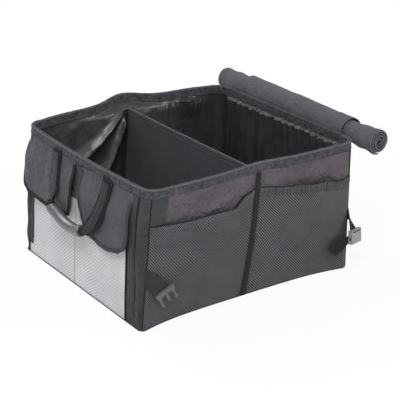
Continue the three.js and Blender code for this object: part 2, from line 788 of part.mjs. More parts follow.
// The strap's own directions at a row: across it, along it and out of its face
function strapFrame(edges, row, wall) {
  const middle = (n) => edges[n][0].clone().add(edges[n][1]).multiplyScalar(0.5);
  const across = edges[row][0].clone().sub(edges[row][1]).normalize();
  const run = middle(row).sub(middle(row - 1));
  run.addScaledVector(across, -run.dot(across)).normalize();
  const out = across.clone().cross(run);
  if (out.y * wall.out < 0) {
    out.negate();
    across.negate();
  }
  return { middle: middle(row), across, run, out };
}

// The plug half: a bar for the webbing, two sprung side arms with knobs and a guide between them
function plugHalf() {
  const shape = new THREE.Shape();
  const half = buckleBarLength / 2;
  const armIn = half - buckleProngWidth;
  const guide = buckleProngWidth * 0.6;
  const tip = buckleBarWidth + buckleProngLength;
  const knob = 2;
  shape.moveTo(-half, 0);
  shape.lineTo(half, 0);
  shape.lineTo(half, buckleBarWidth);
  shape.lineTo(half - 3, buckleBarWidth + 4);
  shape.lineTo(half - 3, tip - 8);
  shape.lineTo(half - 3 + knob, tip - 4);
  shape.quadraticCurveTo(half - 3, tip + 1, armIn - 3, tip);
  shape.lineTo(armIn - 3, buckleBarWidth + 3);
  shape.lineTo(guide, buckleBarWidth);
  shape.lineTo(guide, tip - 5);
  shape.lineTo(-guide, tip - 5);
  shape.lineTo(-guide, buckleBarWidth);
  shape.lineTo(-armIn + 3, buckleBarWidth + 3);
  shape.lineTo(-armIn + 3, tip);
  shape.quadraticCurveTo(-half + 3, tip + 1, -half + 3 - knob, tip - 4);
  shape.lineTo(-half + 3, tip - 8);
  shape.lineTo(-half + 3, buckleBarWidth + 4);
  shape.lineTo(-half, buckleBarWidth);
  shape.closePath();
  return new THREE.ExtrudeGeometry(shape, { depth: buckleThickness, bevelEnabled: false, curveSegments: 4 });
}

// A three.js body as a manifold solid, and back
function toSolid(geometry) {
  const bare = geometry.clone();
  bare.deleteAttribute('normal');
  bare.deleteAttribute('uv');
  const merged = BufferGeometryUtils.mergeVertices(bare, 1e-4);
  const mesh = new wasm.Mesh({
    numProp: 3,
    vertProperties: new Float32Array(merged.attributes.position.array),
    triVerts: new Uint32Array(merged.index.array),
  });
  return new wasm.Manifold(mesh);
}

function fromSolid(solid) {
  const mesh = solid.getMesh();
  const geometry = new THREE.BufferGeometry();
  geometry.setAttribute('position', new THREE.Float32BufferAttribute(mesh.vertProperties, 3));
  geometry.setIndex(Array.from(mesh.triVerts));
  return geometry;
}

// The socket half: a flat case with an open mouth, windows at its sides and a bar for the webbing
function socketHalf() {
  const middle = socketThickness / 2;
  const body = new THREE.BoxGeometry(buckleBarLength, socketLength, socketThickness);
  body.translate(0, socketLength / 2, middle);
  const mouthLength = socketLength - buckleBarWidth;
  const mouth = new THREE.BoxGeometry(buckleBarLength - 4 * socketWall, mouthLength, socketThickness - 2 * socketWall);
  mouth.translate(0, socketLength - mouthLength / 2 + 1, middle);
  const window = new THREE.BoxGeometry(buckleBarLength + 2, mouthLength * 0.4, socketThickness - 2 * socketWall);
  window.translate(0, socketLength - mouthLength * 0.55, middle);
  const slot = new THREE.BoxGeometry(strapWidth + 1, 3, socketThickness + 2);
  slot.translate(0, buckleBarWidth / 2, middle);
  return fromSolid([mouth, window, slot].reduce((solid, cut) => solid.subtract(toSolid(cut)), toSolid(body)));
}

function addStrap(name, wall, corner, kind) {
  const edges = strapEdges(wall, corner, kind);
  const face = (sign) => (i, j) => {
    const { out } = strapFrame(edges, Math.max(i, 1), wall);
    const point = edges[i][0].clone().lerp(edges[i][1], j / 2);
    return point.addScaledVector(out, (sign * strapThickness) / 2).toArray();
  };
  add(`strap_${name}`, solidBetween(edges.length, 3, face(1), face(-1)), 'webbing');
  const row = kind === 'plug' ? edges.length - 1 : 2;
  const { middle, across, run, out } = strapFrame(edges, row, wall);
  const origin = middle.addScaledVector(run, -buckleBarWidth).addScaledVector(out, strapThickness / 2 + clear);
  const frame = new THREE.Matrix4().makeBasis(across, run, out).setPosition(origin);
  const body = kind === 'plug' ? plugHalf() : socketHalf();
  add(`buckle_${kind}_${name}`, body.applyMatrix4(frame), 'buckle');
}

addStrap('front_left', walls.front, -1, 'plug');
addStrap('front_right', walls.front, 1, 'socket');
addStrap('back_left', walls.back, -1, 'plug');
addStrap('back_right', walls.back, 1, 'socket');

// Rolled cover: one sheet wound into a spiral, lying along the outside of the right rim
const rollAxis = new THREE.LineCurve3(new THREE.Vector3(...rollFar), new THREE.Vector3(...rollNear));
const rollSize = profile([[0, 1.02], [0.14, 1], [0.5, 0.95], [0.86, 0.88], [1, 1]]);
const rollSections = 5;
const stepsPerTurn = 12;
const rollSteps = rollTurns * stepsPerTurn;
const rollPitch = (rollRadius - rollCore) / rollTurns;
const rollStart = -Math.PI / 2;

function aroundRoll(share, angle, radius) {
  const centre = rollAxis.getPoint(share);
  return [centre.x + radius * Math.cos(angle), centre.y, centre.z + radius * Math.sin(angle)];
}

const rollFace = (thickness) => (i, j) => {
  const share = j / rollSections;
  const radius = rollCore + (rollRadius - rollCore) * (i / rollSteps) - thickness;
  const angle = rollStart + (2 * Math.PI * i) / stepsPerTurn;
  return aroundRoll(share, angle, radius * rollSize(share));
};
const rollSheet = rollPitch - rollGap;
add('cover_roll', solidBetween(rollSteps + 1, rollSections + 1, rollFace(0), rollFace(rollSheet)), 'cover');

// Keeper wrapped over the roll, and the stretch band at its near edge
const keeperFrom = THREE.MathUtils.degToRad(-60);
const keeperTo = THREE.MathUtils.degToRad(205);
const keeperSteps = 12;
const shareAt = (y) => (rollFar[1] - y) / (rollFar[1] - rollNear[1]);

function keeperSheet(far, near, sections, lift, thickness) {
  const face = (extra) => (i, j) => {
    const share = shareAt(mix(far, near, j / sections));
    const angle = mix(keeperFrom, keeperTo, i / keeperSteps);
    return aroundRoll(share, angle, rollRadius * rollSize(share) + lift + extra);
  };
  return solidBetween(keeperSteps + 1, sections + 1, face(0), face(thickness));
}

add('cover_keeper', keeperSheet(keeperFar, keeperNear, 5, clear * 2, keeperThickness), 'cover');
const bandLift = clear * 3 + keeperThickness;
add('keeper_band', keeperSheet(keeperNear + keeperBandWidth, keeperNear, 1, bandLift, tapeThickness), 'cover');

// Strip that ties the cover to the rim: from inside the rim, over the binding and down against the roll
const rimOutside = rimTapeThickness + clear;
const hingeSections = 4;
const hingeSeatAngle = THREE.MathUtils.degToRad(192);
const hingeLine = (extra) => (i, j) => {
  const y = mix(hingeFar, hingeNear, j / hingeSections);
  const u = uAt(walls.right, y, wallTop);
  const inner = wallPoint(walls.right, u, wallTop, wallDepth + rimOutside + clear)[0];
  const outer = wallPoint(walls.right, u, wallTop, -rimOutside - clear)[0];
  const top = height + clear;
  const share = shareAt(y);
  const seatRadius = rollRadius * rollSize(share) + bandLift + tapeThickness + clear;
  const seat = aroundRoll(share, hingeSeatAngle, seatRadius + hingeThickness - extra);
  const points = [
    [inner - extra, height - hingeDrop],
    [inner - extra, top + extra],
    [outer, top + extra],
    [seat[0], seat[2]],
  ];
  return [points[i][0], y, points[i][1]];
};
add('cover_hinge_strip', solidBetween(4, hingeSections + 1, hingeLine(0), hingeLine(hingeThickness)), 'tape');

export default organizer;
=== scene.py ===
"""Looks of a collapsible car trunk organizer.

Fabric walls with a bound rim, mesh pockets, flaps, a divider, carry handles, corner straps with buckles
and a cover rolled up along the right rim. Sizes are millimetres until a mesh is made; the scene is in
metres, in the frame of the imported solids.
"""

import logging
import math
from collections.abc import Callable, Sequence
from dataclasses import dataclass, field
from enum import Enum
from functools import partial

import bpy
import numpy as np
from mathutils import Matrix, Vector


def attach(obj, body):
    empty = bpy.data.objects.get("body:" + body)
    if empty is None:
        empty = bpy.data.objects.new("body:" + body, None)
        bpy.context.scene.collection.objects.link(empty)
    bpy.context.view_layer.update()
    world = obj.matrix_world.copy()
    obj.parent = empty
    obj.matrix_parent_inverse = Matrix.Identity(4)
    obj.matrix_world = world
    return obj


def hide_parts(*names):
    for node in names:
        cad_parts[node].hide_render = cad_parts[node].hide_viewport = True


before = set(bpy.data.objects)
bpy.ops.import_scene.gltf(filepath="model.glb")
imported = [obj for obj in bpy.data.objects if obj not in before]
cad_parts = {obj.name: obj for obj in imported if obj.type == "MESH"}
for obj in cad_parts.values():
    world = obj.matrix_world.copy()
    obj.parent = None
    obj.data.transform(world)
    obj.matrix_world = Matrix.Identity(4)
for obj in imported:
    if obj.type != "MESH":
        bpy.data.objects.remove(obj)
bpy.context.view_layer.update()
LOG = logging.getLogger("organizer")
Array = np.ndarray
Colour = tuple[float, float, float]


# Numbers


def mix(a: float | Array, b: float | Array, t: float | Array) -> float | Array:
    """The value between a and b at share t."""
    return a + (b - a) * t


def ease(t: float | Array) -> Array:
    """A smooth step from 0 to 1."""
    s = np.clip(t, 0.0, 1.0)
    return s * s * (3 - 2 * s)


def hump(w: float | Array, width: float) -> Array:
    """A bell of height 1 round 0."""
    return np.exp(-((np.asarray(w) / width) ** 2))


def profile(*points: tuple[float, float]) -> Callable[[float | Array], Array]:
    """An eased curve through (place, value) pairs.

    Args:
        points: the pairs, in rising order of place.

    Returns:
        A function from place to value.
    """
    places = np.array([p for p, _ in points], float)
    values = np.array([v for _, v in points], float)

    def value(place: float | Array) -> Array:
        """The curve's value at a place."""
        at = np.asarray(place, float)
        n = np.clip(np.searchsorted(places, at, side="left"), 1, len(places) - 1)
        share = (at - places[n - 1]) / (places[n] - places[n - 1])
        return mix(values[n - 1], values[n], ease(share))

    return value


def unit(vectors: Array) -> Array:
    """The vectors at length 1."""
    return vectors / np.maximum(np.linalg.norm(vectors, axis=-1, keepdims=True), 1e-9)


@dataclass(frozen=True)
class Folds:
    """Soft folds of cloth, as a smooth seeded pattern over the flat cloth."""

    seed: int
    height: float
    length: float
    upright: float = 1.0
    waves: int = 8

    def at(self, across: Array, up: Array) -> Array:
        """The height of the folds.

        Args:
            across: places along the cloth, in millimetres.
            up: places up the cloth, in millimetres.

        Returns:
            Heights in millimetres, about as often above 0 as below.
        """
        rng = np.random.default_rng(self.seed)
        total = np.zeros(np.broadcast(across, up).shape)
        for _ in range(self.waves):
            angle = rng.uniform(0, math.pi)
            size = self.length * rng.uniform(0.6, 1.7)
            phase = rng.uniform(0, 2 * math.pi)
            warp = 0.8 * np.sin(2 * math.pi * up / (self.length * 2.7) + phase * 3)
            run = across * math.cos(angle) + up * math.sin(angle) / self.upright
            total += np.sin(2 * math.pi * run / size + phase + warp)
        return self.height * total / math.sqrt(self.waves)


# Meshes


def placed(name: str, data: bpy.types.ID) -> bpy.types.Object:
    """A new object of the scene, at the origin."""
    made = bpy.data.objects.new(name, data)
    bpy.context.scene.collection.objects.link(made)
    return made


def grid_body(name: str, outer: Array, inner: Array, loop: bool = False) -> bpy.types.Object:
    """A sheet with thickness, closed along its edges, with its flat size as the map "cloth".

    Args:
        name: the object's name.
        outer: points of the outer face, rows by columns by 3, in millimetres.
        inner: points of the inner face, the same shape.
        loop: whether the last row joins the first.

    Returns:
        The mesh object, at the origin.
    """
    rows, columns = outer.shape[:2]
    steps = rows if loop else rows - 1
    i, j = np.meshgrid(np.arange(steps), np.arange(columns - 1), indexing="ij")
    i, j = i.ravel(), j.ravel()
    zero, one = np.zeros_like(i), np.ones_like(i)
    quads = [
        np.stack([zero, i, j, zero, i + 1, j, zero, i + 1, j + 1, zero, i, j + 1], 1),
        np.stack([one, i, j, one, i, j + 1, one, i + 1, j + 1, one, i + 1, j], 1),
    ]
    k = np.arange(steps)
    z, o, c = np.zeros_like(k), np.ones_like(k), np.full_like(k, columns - 1)
    quads.append(np.stack([z, k + 1, z, z, k, z, o, k, z, o, k + 1, z], 1))
    quads.append(np.stack([z, k, c, z, k + 1, c, o, k + 1, c, o, k, c], 1))
    if not loop:
        k = np.arange(columns - 1)
        z, o, r = np.zeros_like(k), np.ones_like(k), np.full_like(k, rows - 1)
        quads.append(np.stack([z, z, k, z, z, k + 1, o, z, k + 1, o, z, k], 1))
        quads.append(np.stack([z, r, k + 1, z, r, k, o, r, k, o, r, k + 1], 1))
    corners = np.concatenate(quads).reshape(-1, 4, 3)
    points = np.concatenate([outer.reshape(-1, 3), inner.reshape(-1, 3)]) * 0.001
    faces = (corners[..., 0] * rows + corners[..., 1] % rows) * columns + corners[..., 2]
    a, b, d = points[faces[:, 0]], points[faces[:, 1]], points[faces[:, 2]]
    e = points[faces[:, 3]]
    if (np.cross(b, d) * a).sum() + (np.cross(d, e) * a).sum() < 0:
        faces, corners = faces[:, ::-1], corners[:, ::-1]
    middle, centre = outer[:, columns // 2], outer[rows // 2]
    closed = np.concatenate([middle, middle[:1]]) if loop else middle
    run = np.concatenate([[0], np.cumsum(np.linalg.norm(np.diff(closed, axis=0), axis=1))]) * 0.001
    climb = np.concatenate([[0], np.cumsum(np.linalg.norm(np.diff(centre, axis=0), axis=1))]) * 0.001
    place = np.stack([run[corners[..., 1]], climb[corners[..., 2]]], -1)
    mesh = bpy.data.meshes.new(name)
    mesh.from_pydata(points.tolist(), [], faces.tolist())
    mesh.uv_layers.new(name="cloth").data.foreach_set("uv", place.astype(np.float32).ravel())
    mesh.shade_smooth()
    mesh.set_sharp_from_angle(angle=math.radians(50))
    return placed(name, mesh)


# Shader trees


def add_node(tree: bpy.types.NodeTree, kind: str, sockets: dict | None = None,
             **settings: object) -> bpy.types.Node:
    """Adds a node to a tree.

    Args:
        tree: the node tree.
        kind: Blender's name of the node type.
        sockets: inputs by number or name, each a Value, a socket or a constant.
        settings: the node's own settings.

    Returns:
        The node.
    """
    made = tree.nodes.new(kind)
    for key, value in settings.items():
        setattr(made, key, value)
    for key, value in (sockets or {}).items():
        source = value.socket if isinstance(value, Value) else value
        if isinstance(source, bpy.types.NodeSocket):
            tree.links.new(source, made.inputs[key])
        else:
            made.inputs[key].default_value = source
    return made


class Value:
    """A number in a shader tree, on which arithmetic makes nodes."""

    def __init__(self, graph: "Graph", socket: bpy.types.NodeSocket) -> None:
        """Keeps the tree and the socket that gives the number."""
        self.graph = graph
        self.socket = socket

    def _math(self, operation: str, *others: "Value | float") -> "Value":
        """The result of a math node on this value and others."""
        node = self.graph.node("ShaderNodeMath", dict(enumerate((self, *others))), operation=operation)
        return Value(self.graph, node.outputs[0])

    def __add__(self, other: "Value | float") -> "Value":
        """The sum."""
        return self._math("ADD", other)

    def __sub__(self, other: "Value | float") -> "Value":
        """The difference."""
        return self._math("SUBTRACT", other)

    def __mul__(self, other: "Value | float") -> "Value":
        """The product."""
        return self._math("MULTIPLY", other)

    def __truediv__(self, other: "Value | float") -> "Value":
        """The quotient."""
        return self._math("DIVIDE", other)

    __radd__ = __add__
    __rmul__ = __mul__

    def sine(self) -> "Value":
        """The sine of the value in radians."""
        return self._math("SINE")

    def size(self) -> "Value":
        """The value without its sign."""
        return self._math("ABSOLUTE")

    def part(self) -> "Value":
        """The part after the point."""
        return self._math("FRACT")

    def larger(self, other: "Value | float") -> "Value":
        """The larger of two values."""
        return self._math("MAXIMUM", other)

    def step(self, low: float, high: float) -> "Value":
        """A smooth step from 0 at low to 1 at high."""
        node = self.graph.node(
            "ShaderNodeMapRange", {0: self, 1: low, 2: high}, interpolation_type="SMOOTHSTEP"
        )
        return Value(self.graph, node.outputs[0])


class Graph:
    """A material's node tree in the making."""

    def __init__(self, name: str) -> None:
        """Starts an empty material."""
        self.material = bpy.data.materials.new(name)
        self.material.use_nodes = True
        self.tree = self.material.node_tree
        self.tree.nodes.clear()

    def node(self, kind: str, sockets: dict | None = None, **settings: object) -> bpy.types.Node:
        """Adds a node to the material's tree."""
        return add_node(self.tree, kind, sockets, **settings)

    def cloth(self) -> tuple[Value, Value]:
        """The place on the flat cloth, along and up it, in metres."""
        uv = self.node("ShaderNodeUVMap", uv_map="cloth")
        parts = self.node("ShaderNodeSeparateXYZ", {0: uv.outputs[0]})
        return Value(self, parts.outputs[0]), Value(self, parts.outputs[1])

    def noise(self, scale: float, detail: float = 3.0, stretch: Sequence[float] = (1, 1, 1)) -> Value:
        """Seeded noise from 0 to 1 over the object's own coordinates, with cells of 1/scale metres.

        Args:
            scale: cells to a metre.
            detail: how many finer layers it has.
            stretch: factors on the three coordinates.

        Returns:
            The noise.
        """
        place = self.node("ShaderNodeTexCoord").outputs["Object"]
        mapped = self.node("ShaderNodeMapping", {"Vector": place, "Scale": stretch})
        sockets = {"Vector": mapped.outputs[0], "Scale": scale, "Detail": detail, "Roughness": 0.55}
        made = self.node("ShaderNodeTexNoise", sockets)
        return Value(self, made.outputs[0])

    def tint(self, colour: object, tone: Value) -> bpy.types.NodeSocket:
        """A colour times a tone."""
        return self.node("ShaderNodeVectorMath", {0: colour, "Scale": tone}, operation="SCALE").outputs[0]

    def blend(self, share: Value, a: object, b: object) -> bpy.types.NodeSocket:
        """The colour between a and b."""
        ends = [(*c, 1.0) if isinstance(c, tuple) else c for c in (a, b)]
        return self.node("ShaderNodeMix", {0: share, 6: ends[0], 7: ends[1]}, data_type="RGBA").outputs[2]

    def close(self, base: object, roughness: Value | float, height: Value,
              **fixed: float) -> bpy.types.Material:
        """Ends the tree in a surface.

        Args:
            base: the base colour.
            roughness: the roughness.
            height: the relief, in metres.
            fixed: constants of the surface by socket name, with _ for a space.

        Returns:
            The material.
        """
        bump = self.node("ShaderNodeBump", {"Height": height, "Distance": 1.0, "Strength": 1.0})
        sockets = {"Base Color": base, "Roughness": roughness, "Normal": bump.outputs[0]}
        sockets.update({key.replace("_", " "): value for key, value in fixed.items()})
        surface = self.node("ShaderNodeBsdfPrincipled", sockets)
        self.node("ShaderNodeOutputMaterial", {0: surface.outputs[0]})
        return self.material


@dataclass(frozen=True)
class Woven:
    """Plain woven polyester: threads over and under, with soft blotches of tone that are partly random
    mottling and partly painted shade of soft folds, and a little fuzz.
    """

    name: str
    colour: Colour
    pitch: float = 0.0012
    relief: float = 0.00008
    mottling_and_shade: float = 0.22
    roughness: float = 0.82
    crumple: float = 0.002

    def material(self) -> bpy.types.Material:
        """Builds the finish.

        Returns:
            The material.
        """
        g = Graph(self.name)
        along, up = g.cloth()
        turns = 2 * math.pi / self.pitch
        weave = (along * turns).sine() * (up * turns).sine()
        slub = g.noise(700, 2.0, (1, 1, 0.25))
        cloud = g.noise(14, 4.0)
        crease = (g.noise(30, 3.0) - 0.5).size()
        # The cloud's blotches lighten and darken the colour: random mottling, and also painted shade of the
        # cloth's soft folds.
        tone = cloud * (2 * self.mottling_and_shade) + (1 - self.mottling_and_shade) + weave * 0.07 + (slub - 0.5) * 0.3
        height = weave * self.relief + slub * (self.relief * 2) + cloud * 0.0006 + crease * self.crumple
        rough = cloud * 0.12 + (self.roughness - 0.06)
        return g.close(g.tint(self.colour, tone), rough, height, Sheen_Weight=0.06, Sheen_Roughness=0.5,
                       Specular_IOR_Level=0.22)


@dataclass(frozen=True)
class Net:
    """Knitted net: two families of slanting threads over gaps, of which one or the other shows more."""

    name: str
    thread: Colour
    gap: Colour
    pitch: float = 0.0045
    slopes: tuple[float, float] = (0.9, 0.9)
    patches: float = 1.0
    seam: float | None = None
    relief: float = 0.0004

    def material(self) -> bpy.types.Material:
        """Builds the finish, with a dark line along the seam if there is one.

        Returns:
            The material.
        """
        g = Graph(self.name)
        along, up = g.cloth()
        patch = g.noise(9, 1.0).step(0.5 - 0.12 / self.patches, 0.5 + 0.12 / self.patches)
        sway = g.noise(7, 1.0) * 0.03
        falling = ((up - along * self.slopes[0] + sway) / self.pitch).part()
        rising = ((up + along * self.slopes[1] + sway) / self.pitch).part()
        shares = patch * 0.75 * self.patches + 0.25, (patch * -0.75 + 0.75) * self.patches + 0.25
        families = [
            (run - 0.5).size().step(0.34, 0.12) * share
            for run, share in zip((rising, falling), shares)
        ]
        thread = families[0].larger(families[1])
        cloud = g.noise(11, 3.0)
        fine = g.noise(900, 2.0)
        tone = cloud * 0.36 + 0.82 + (fine - 0.5) * 0.25
        if self.seam is not None:
            tone = tone * ((along - self.seam).size().step(0.0004, 0.0022) * 0.6 + 0.4)
        shaded = g.tint(g.blend(thread, self.gap, self.thread), tone)
        return g.close(shaded, cloud * 0.1 + 0.7, thread * self.relief, Sheen_Weight=0.04,
                       Specular_IOR_Level=0.2)


class Across(Enum):
    """Which way the ribs of a tape repeat: along its length or up its width."""

    LENGTH = 0
    WIDTH = 1


@dataclass(frozen=True)
class Ribbed:
    """Ribbed binding tape."""

    name: str
    colour: Colour
    pitch: float = 0.0022
    ribs: Across = Across.LENGTH
    relief: float = 0.00025
    wear: float = 0.3
    crinkle_shade: float = 0.5

    def material(self) -> bpy.types.Material:
        """Builds the finish.

        Returns:
            The material.
        """
        g = Graph(self.name)
        place = g.cloth()
        rib = (place[self.ribs.value] * (2 * math.pi / self.pitch)).sine()
        cross = (place[1 - self.ribs.value] * (2 * math.pi / (self.pitch * 0.45))).sine()
        crease = g.noise(130, 3.0)
        cloud = g.noise(20, 3.0)
        worn = cloud * (2 * self.wear) + (1 - self.wear)
        # Painted shade: the colour follows the crease noise that also sets the relief, darker in the
        # crinkles' hollows and lighter on their crests.
        tone = rib * 0.14 + cross * 0.05 + worn + (crease - 0.5) * self.crinkle_shade
        height = rib * self.relief + cross * 0.00005 + crease * 0.0022
        return g.close(g.tint(self.colour, tone), cloud * 0.15 + 0.7, height, Sheen_Weight=0.05,
                       Sheen_Roughness=0.5, Specular_IOR_Level=0.2)


@dataclass(frozen=True)
class Webbing:
    """Flat webbing with a chevron weave."""

    name: str
    colour: Colour
    pitch: float = 0.003

    def material(self) -> bpy.types.Material:
        """Builds the finish.

        Returns:
            The material.
        """
        g = Graph(self.name)
        along, up = g.cloth()
        chevron = (((up / 0.0095).part() - 0.5).size() * 0.0095 + along) / self.pitch
        rib = (chevron * (2 * math.pi)).sine()
        fine = g.noise(600, 2.0)
        tone = rib * 0.22 + 1.0 + (fine - 0.5) * 0.5
        return g.close(g.tint(self.colour, tone), fine * 0.2 + 0.6, rib * 0.0002 + fine * 0.0002,
                       Sheen_Weight=0.05, Sheen_Roughness=0.4, Specular_IOR_Level=0.2)


@dataclass(frozen=True)
class Coated:
    """Coated nylon lining: nearly black and glossy, with fine creases whose lines are painted lighter as a
    painted highlight.
    """

    name: str
    colour: Colour
    roughness: float = 0.3

    def material(self) -> bpy.types.Material:
        """Builds the finish.

        Returns:
            The material.
        """
        g = Graph(self.name)
        crease = g.noise(17, 2.0, (1, 1, 0.45))
        ridge = (crease - 0.5).size()
        cloud = g.noise(30, 2.0)
        along, up = g.cloth()
        weave = (along * (2 * math.pi / 0.0012)).sine() * (up * (2 * math.pi / 0.0012)).sine()
        height = ridge * -0.005 + cloud * 0.0012 + weave * 0.00001
        # Painted highlight: the colour is lighter along the crease lines.
        tone = ridge * 1.2 + 0.85 + weave * 0.08
        rough = cloud * 0.14 + (self.roughness - 0.05) + ridge * 0.2
        return g.close(g.tint(self.colour, tone), rough, height, Specular_IOR_Level=0.8, Coat_Weight=0.15,
                       Coat_Roughness=0.3)


@dataclass(frozen=True)
class Moulded:
    """Moulded plastic with a fine grain."""

    name: str
    colour: Colour
    roughness: float = 0.36
    coat: float = 0.2
    metal: float = 0.0

    def material(self) -> bpy.types.Material:
        """Builds the finish.

        Returns:
            The material.
        """
        g = Graph(self.name)
        grain = g.noise(1400, 2.0)
        cloud = g.noise(40, 3.0)
        tone = cloud * 0.2 + 0.9 + (grain - 0.5) * 0.1
        rough = cloud * 0.14 + grain * 0.08 + (self.roughness - 0.1)
        return g.close(g.tint(self.colour, tone), rough, grain * 0.00006 + cloud * 0.0003,
                       Coat_Weight=self.coat, Coat_Roughness=0.2, Metallic=self.metal)


@dataclass(frozen=True)
class Fibreboard:
    """Pressed brown board that stiffens the walls and the floor."""

    name: str
    colour: Colour

    def material(self) -> bpy.types.Material:
        """Builds the finish.

        Returns:
            The material.
        """
        g = Graph(self.name)
        fibre = g.noise(260, 4.0, (1, 1, 0.3))
        cloud = g.noise(12, 3.0)
        tone = fibre * 0.6 + 0.6 + cloud * 0.2
        return g.close(g.tint(self.colour, tone), fibre * 0.15 + 0.78, fibre * 0.0003)


class Finish(Enum):
    """The finishes of the organizer, each made once."""

    SHELL = Woven("brown_grey_cloth", (0.098, 0.088, 0.1), mottling_and_shade=0.5, crumple=0.018)
    DARK_SHELL = Woven("dark_grey_cloth", (0.052, 0.048, 0.055), mottling_and_shade=0.5, crumple=0.018)
    FLAP = Woven("flap_cloth", (0.086, 0.08, 0.092), mottling_and_shade=0.4, crumple=0.012)
    COVER = Woven("cover_cloth", (0.098, 0.095, 0.108), mottling_and_shade=0.3, crumple=0.01)
    DIVIDER = Woven("divider_cloth", (0.05, 0.049, 0.058), mottling_and_shade=0.2, roughness=0.8)
    DARK_NET = Net("dark_net", (0.15, 0.146, 0.16), (0.006, 0.006, 0.008), 0.0063, (1.15, 1.1))
    LIGHT_NET = Net("light_net", (1.0, 0.99, 1.0), (0.44, 0.435, 0.47), 0.0076, (0.8, 0.82), 0.45, seam=0.2)
    BINDING = Ribbed("ribbed_binding", (0.062, 0.06, 0.069), crinkle_shade=2.4)
    HEM = Ribbed("gathered_hem", (0.075, 0.073, 0.08), 0.0085, relief=0.0014)
    BLACK_BINDING = Ribbed("black_binding", (0.009, 0.009, 0.011), wear=0.2)
    FLAP_BINDING = Ribbed("flap_binding", (0.052, 0.05, 0.057), wear=0.3, crinkle_shade=1.0)
    CORNER_TAPE = Ribbed("corner_tape", (0.052, 0.051, 0.057), 0.0035, Across.LENGTH, relief=0.0004)
    WELT = Ribbed("pale_welt", (0.13, 0.128, 0.14), 0.0015, wear=0.2)
    LINER = Coated("black_lining", (0.034, 0.034, 0.04), 0.4)
    WEBBING = Webbing("dark_webbing", (0.014, 0.014, 0.017))
    GREY_WEBBING = Webbing("grey_webbing", (0.034, 0.033, 0.038))
    GRIP = Moulded("satin_grip", (0.17, 0.175, 0.185), 0.34, 0.1, 0.5)
    BUCKLE = Moulded("buckle_plastic", (0.105, 0.105, 0.115), 0.42, 0.1)
    PALE_BUCKLE = Moulded("pale_buckle_plastic", (0.24, 0.24, 0.25), 0.42, 0.1)
    BOARD = Fibreboard("pressed_board", (0.16, 0.12, 0.08))
    THREAD = Woven("sewing_thread", (0.13, 0.127, 0.137), 0.0008)

    def material(self) -> bpy.types.Material:
        """The finish's material, made at its first use."""
        return bpy.data.materials.get(self.value.name) or self.value.material()


def dress(made: bpy.types.Object, finish: Finish, slot: str, body: str, *nodes: str) -> bpy.types.Object:
    """Gives a piece its finish and its place in the frame.

    Args:
        made: the piece.
        finish: its finish.
        slot: the material slot's name; not used.
        body: the body it rides on.
        nodes: the solids it stands for.

    Returns:
        The piece.
    """
    made.data.materials.clear()
    made.data.materials.append(finish.material())
    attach(made, body)
    if nodes:
        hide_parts(*nodes)
    LOG.info("%s: %d faces", made.name, len(made.data.polygons))
    return made


class Stitching:
    """Stitches along lines, made by a node tree that is shared by all runs."""

    def __init__(self) -> None:
        """Builds the tree."""
        self.tree = bpy.data.node_groups.new("stitch_run", "GeometryNodeTree")
        face = self.tree.interface
        face.new_socket("Line", in_out="INPUT", socket_type="NodeSocketGeometry")
        for name, value in (("Spacing", 0.004), ("Length", 0.0028), ("Width", 0.0009)):
            face.new_socket(name, in_out="INPUT", socket_type="NodeSocketFloat").default_value = value
        face.new_socket("Thread", in_out="INPUT", socket_type="NodeSocketMaterial")
        face.new_socket("Stitches", in_out="OUTPUT", socket_type="NodeSocketGeometry")
        start = self.tree.nodes.new("NodeGroupInput").outputs
        curve = self._node("GeometryNodeMeshToCurve", {0: start["Line"]})
        every = {"Curve": curve[0], "Length": start["Spacing"]}
        evened = self._node("GeometryNodeResampleCurve", every, mode="LENGTH")
        tangent = self._node("GeometryNodeInputTangent", {})
        turned = self._node("FunctionNodeAlignRotationToVector", {"Vector": tangent[0]}, axis="X")
        bead = self._node("GeometryNodeMeshIcoSphere", {"Radius": 0.5, "Subdivisions": 1})
        size = self._node("ShaderNodeCombineXYZ", {0: start["Length"], 1: start["Width"], 2: start["Width"]})
        beads = self._node(
            "GeometryNodeInstanceOnPoints",
            {"Points": evened[0], "Instance": bead[0], "Rotation": turned[0], "Scale": size[0]},
        )
        real = self._node("GeometryNodeRealizeInstances", {0: beads[0]})
        set_thread = self._node("GeometryNodeSetMaterial", {"Geometry": real[0], "Material": start["Thread"]})
        end = self.tree.nodes.new("NodeGroupOutput")
        self.tree.links.new(set_thread[0], end.inputs[0])

    def _node(self, kind: str, sockets: dict, **settings: object) -> bpy.types.NodeOutputs:
        """Adds a node and gives its outputs."""
        return add_node(self.tree, kind, sockets, **settings).outputs

    def sew(self, name: str, lines: Sequence[Array], finish: Finish, body: str, slot: str = "binding",
            spacing: float = 4.0, length: float = 2.8, width: float = 0.9) -> bpy.types.Object:
        """Sews stitches along lines.

        Args:
            name: the piece's name.
            lines: open lines of points, in millimetres.
            finish: the thread's finish.
            body: the body it rides on.
            slot: the record's material slot.
            spacing: from one stitch to the next, in millimetres.
            length: of one stitch.
            width: of one stitch.

        Returns:
            The stitches as one mesh piece.
        """
        points = np.concatenate(lines) * 0.001
        edges = []
        first = 0
        for line in lines:
            edges += [(first + n, first + n + 1) for n in range(len(line) - 1)]
            first += len(line)
        mesh = bpy.data.meshes.new(name + "_line")
        mesh.from_pydata(points.tolist(), edges, [])
        made = placed(name + "_line", mesh)
        run = made.modifiers.new("stitches", "NODES")
        run.node_group = self.tree
        values = {"Spacing": spacing * 0.001, "Length": length * 0.001, "Width": width * 0.001,
                  "Thread": finish.material()}
        for item in self.tree.interface.items_tree:
            if item.in_out == "INPUT" and item.name in values:
                run[item.identifier] = values[item.name]
        graph = bpy.context.evaluated_depsgraph_get()
        sewn = bpy.data.meshes.new_from_object(made.evaluated_get(graph), depsgraph=graph)
        made.modifiers.remove(run)
        bpy.data.objects.remove(made)
        sewn.shade_smooth()
        sewn.uv_layers.new(name="cloth")
        return dress(placed(name, sewn), finish, slot, body)


# The box


class Side(Enum):
    """The four walls."""

    FRONT = "front"
    BACK = "back"
    LEFT = "left"
    RIGHT = "right"


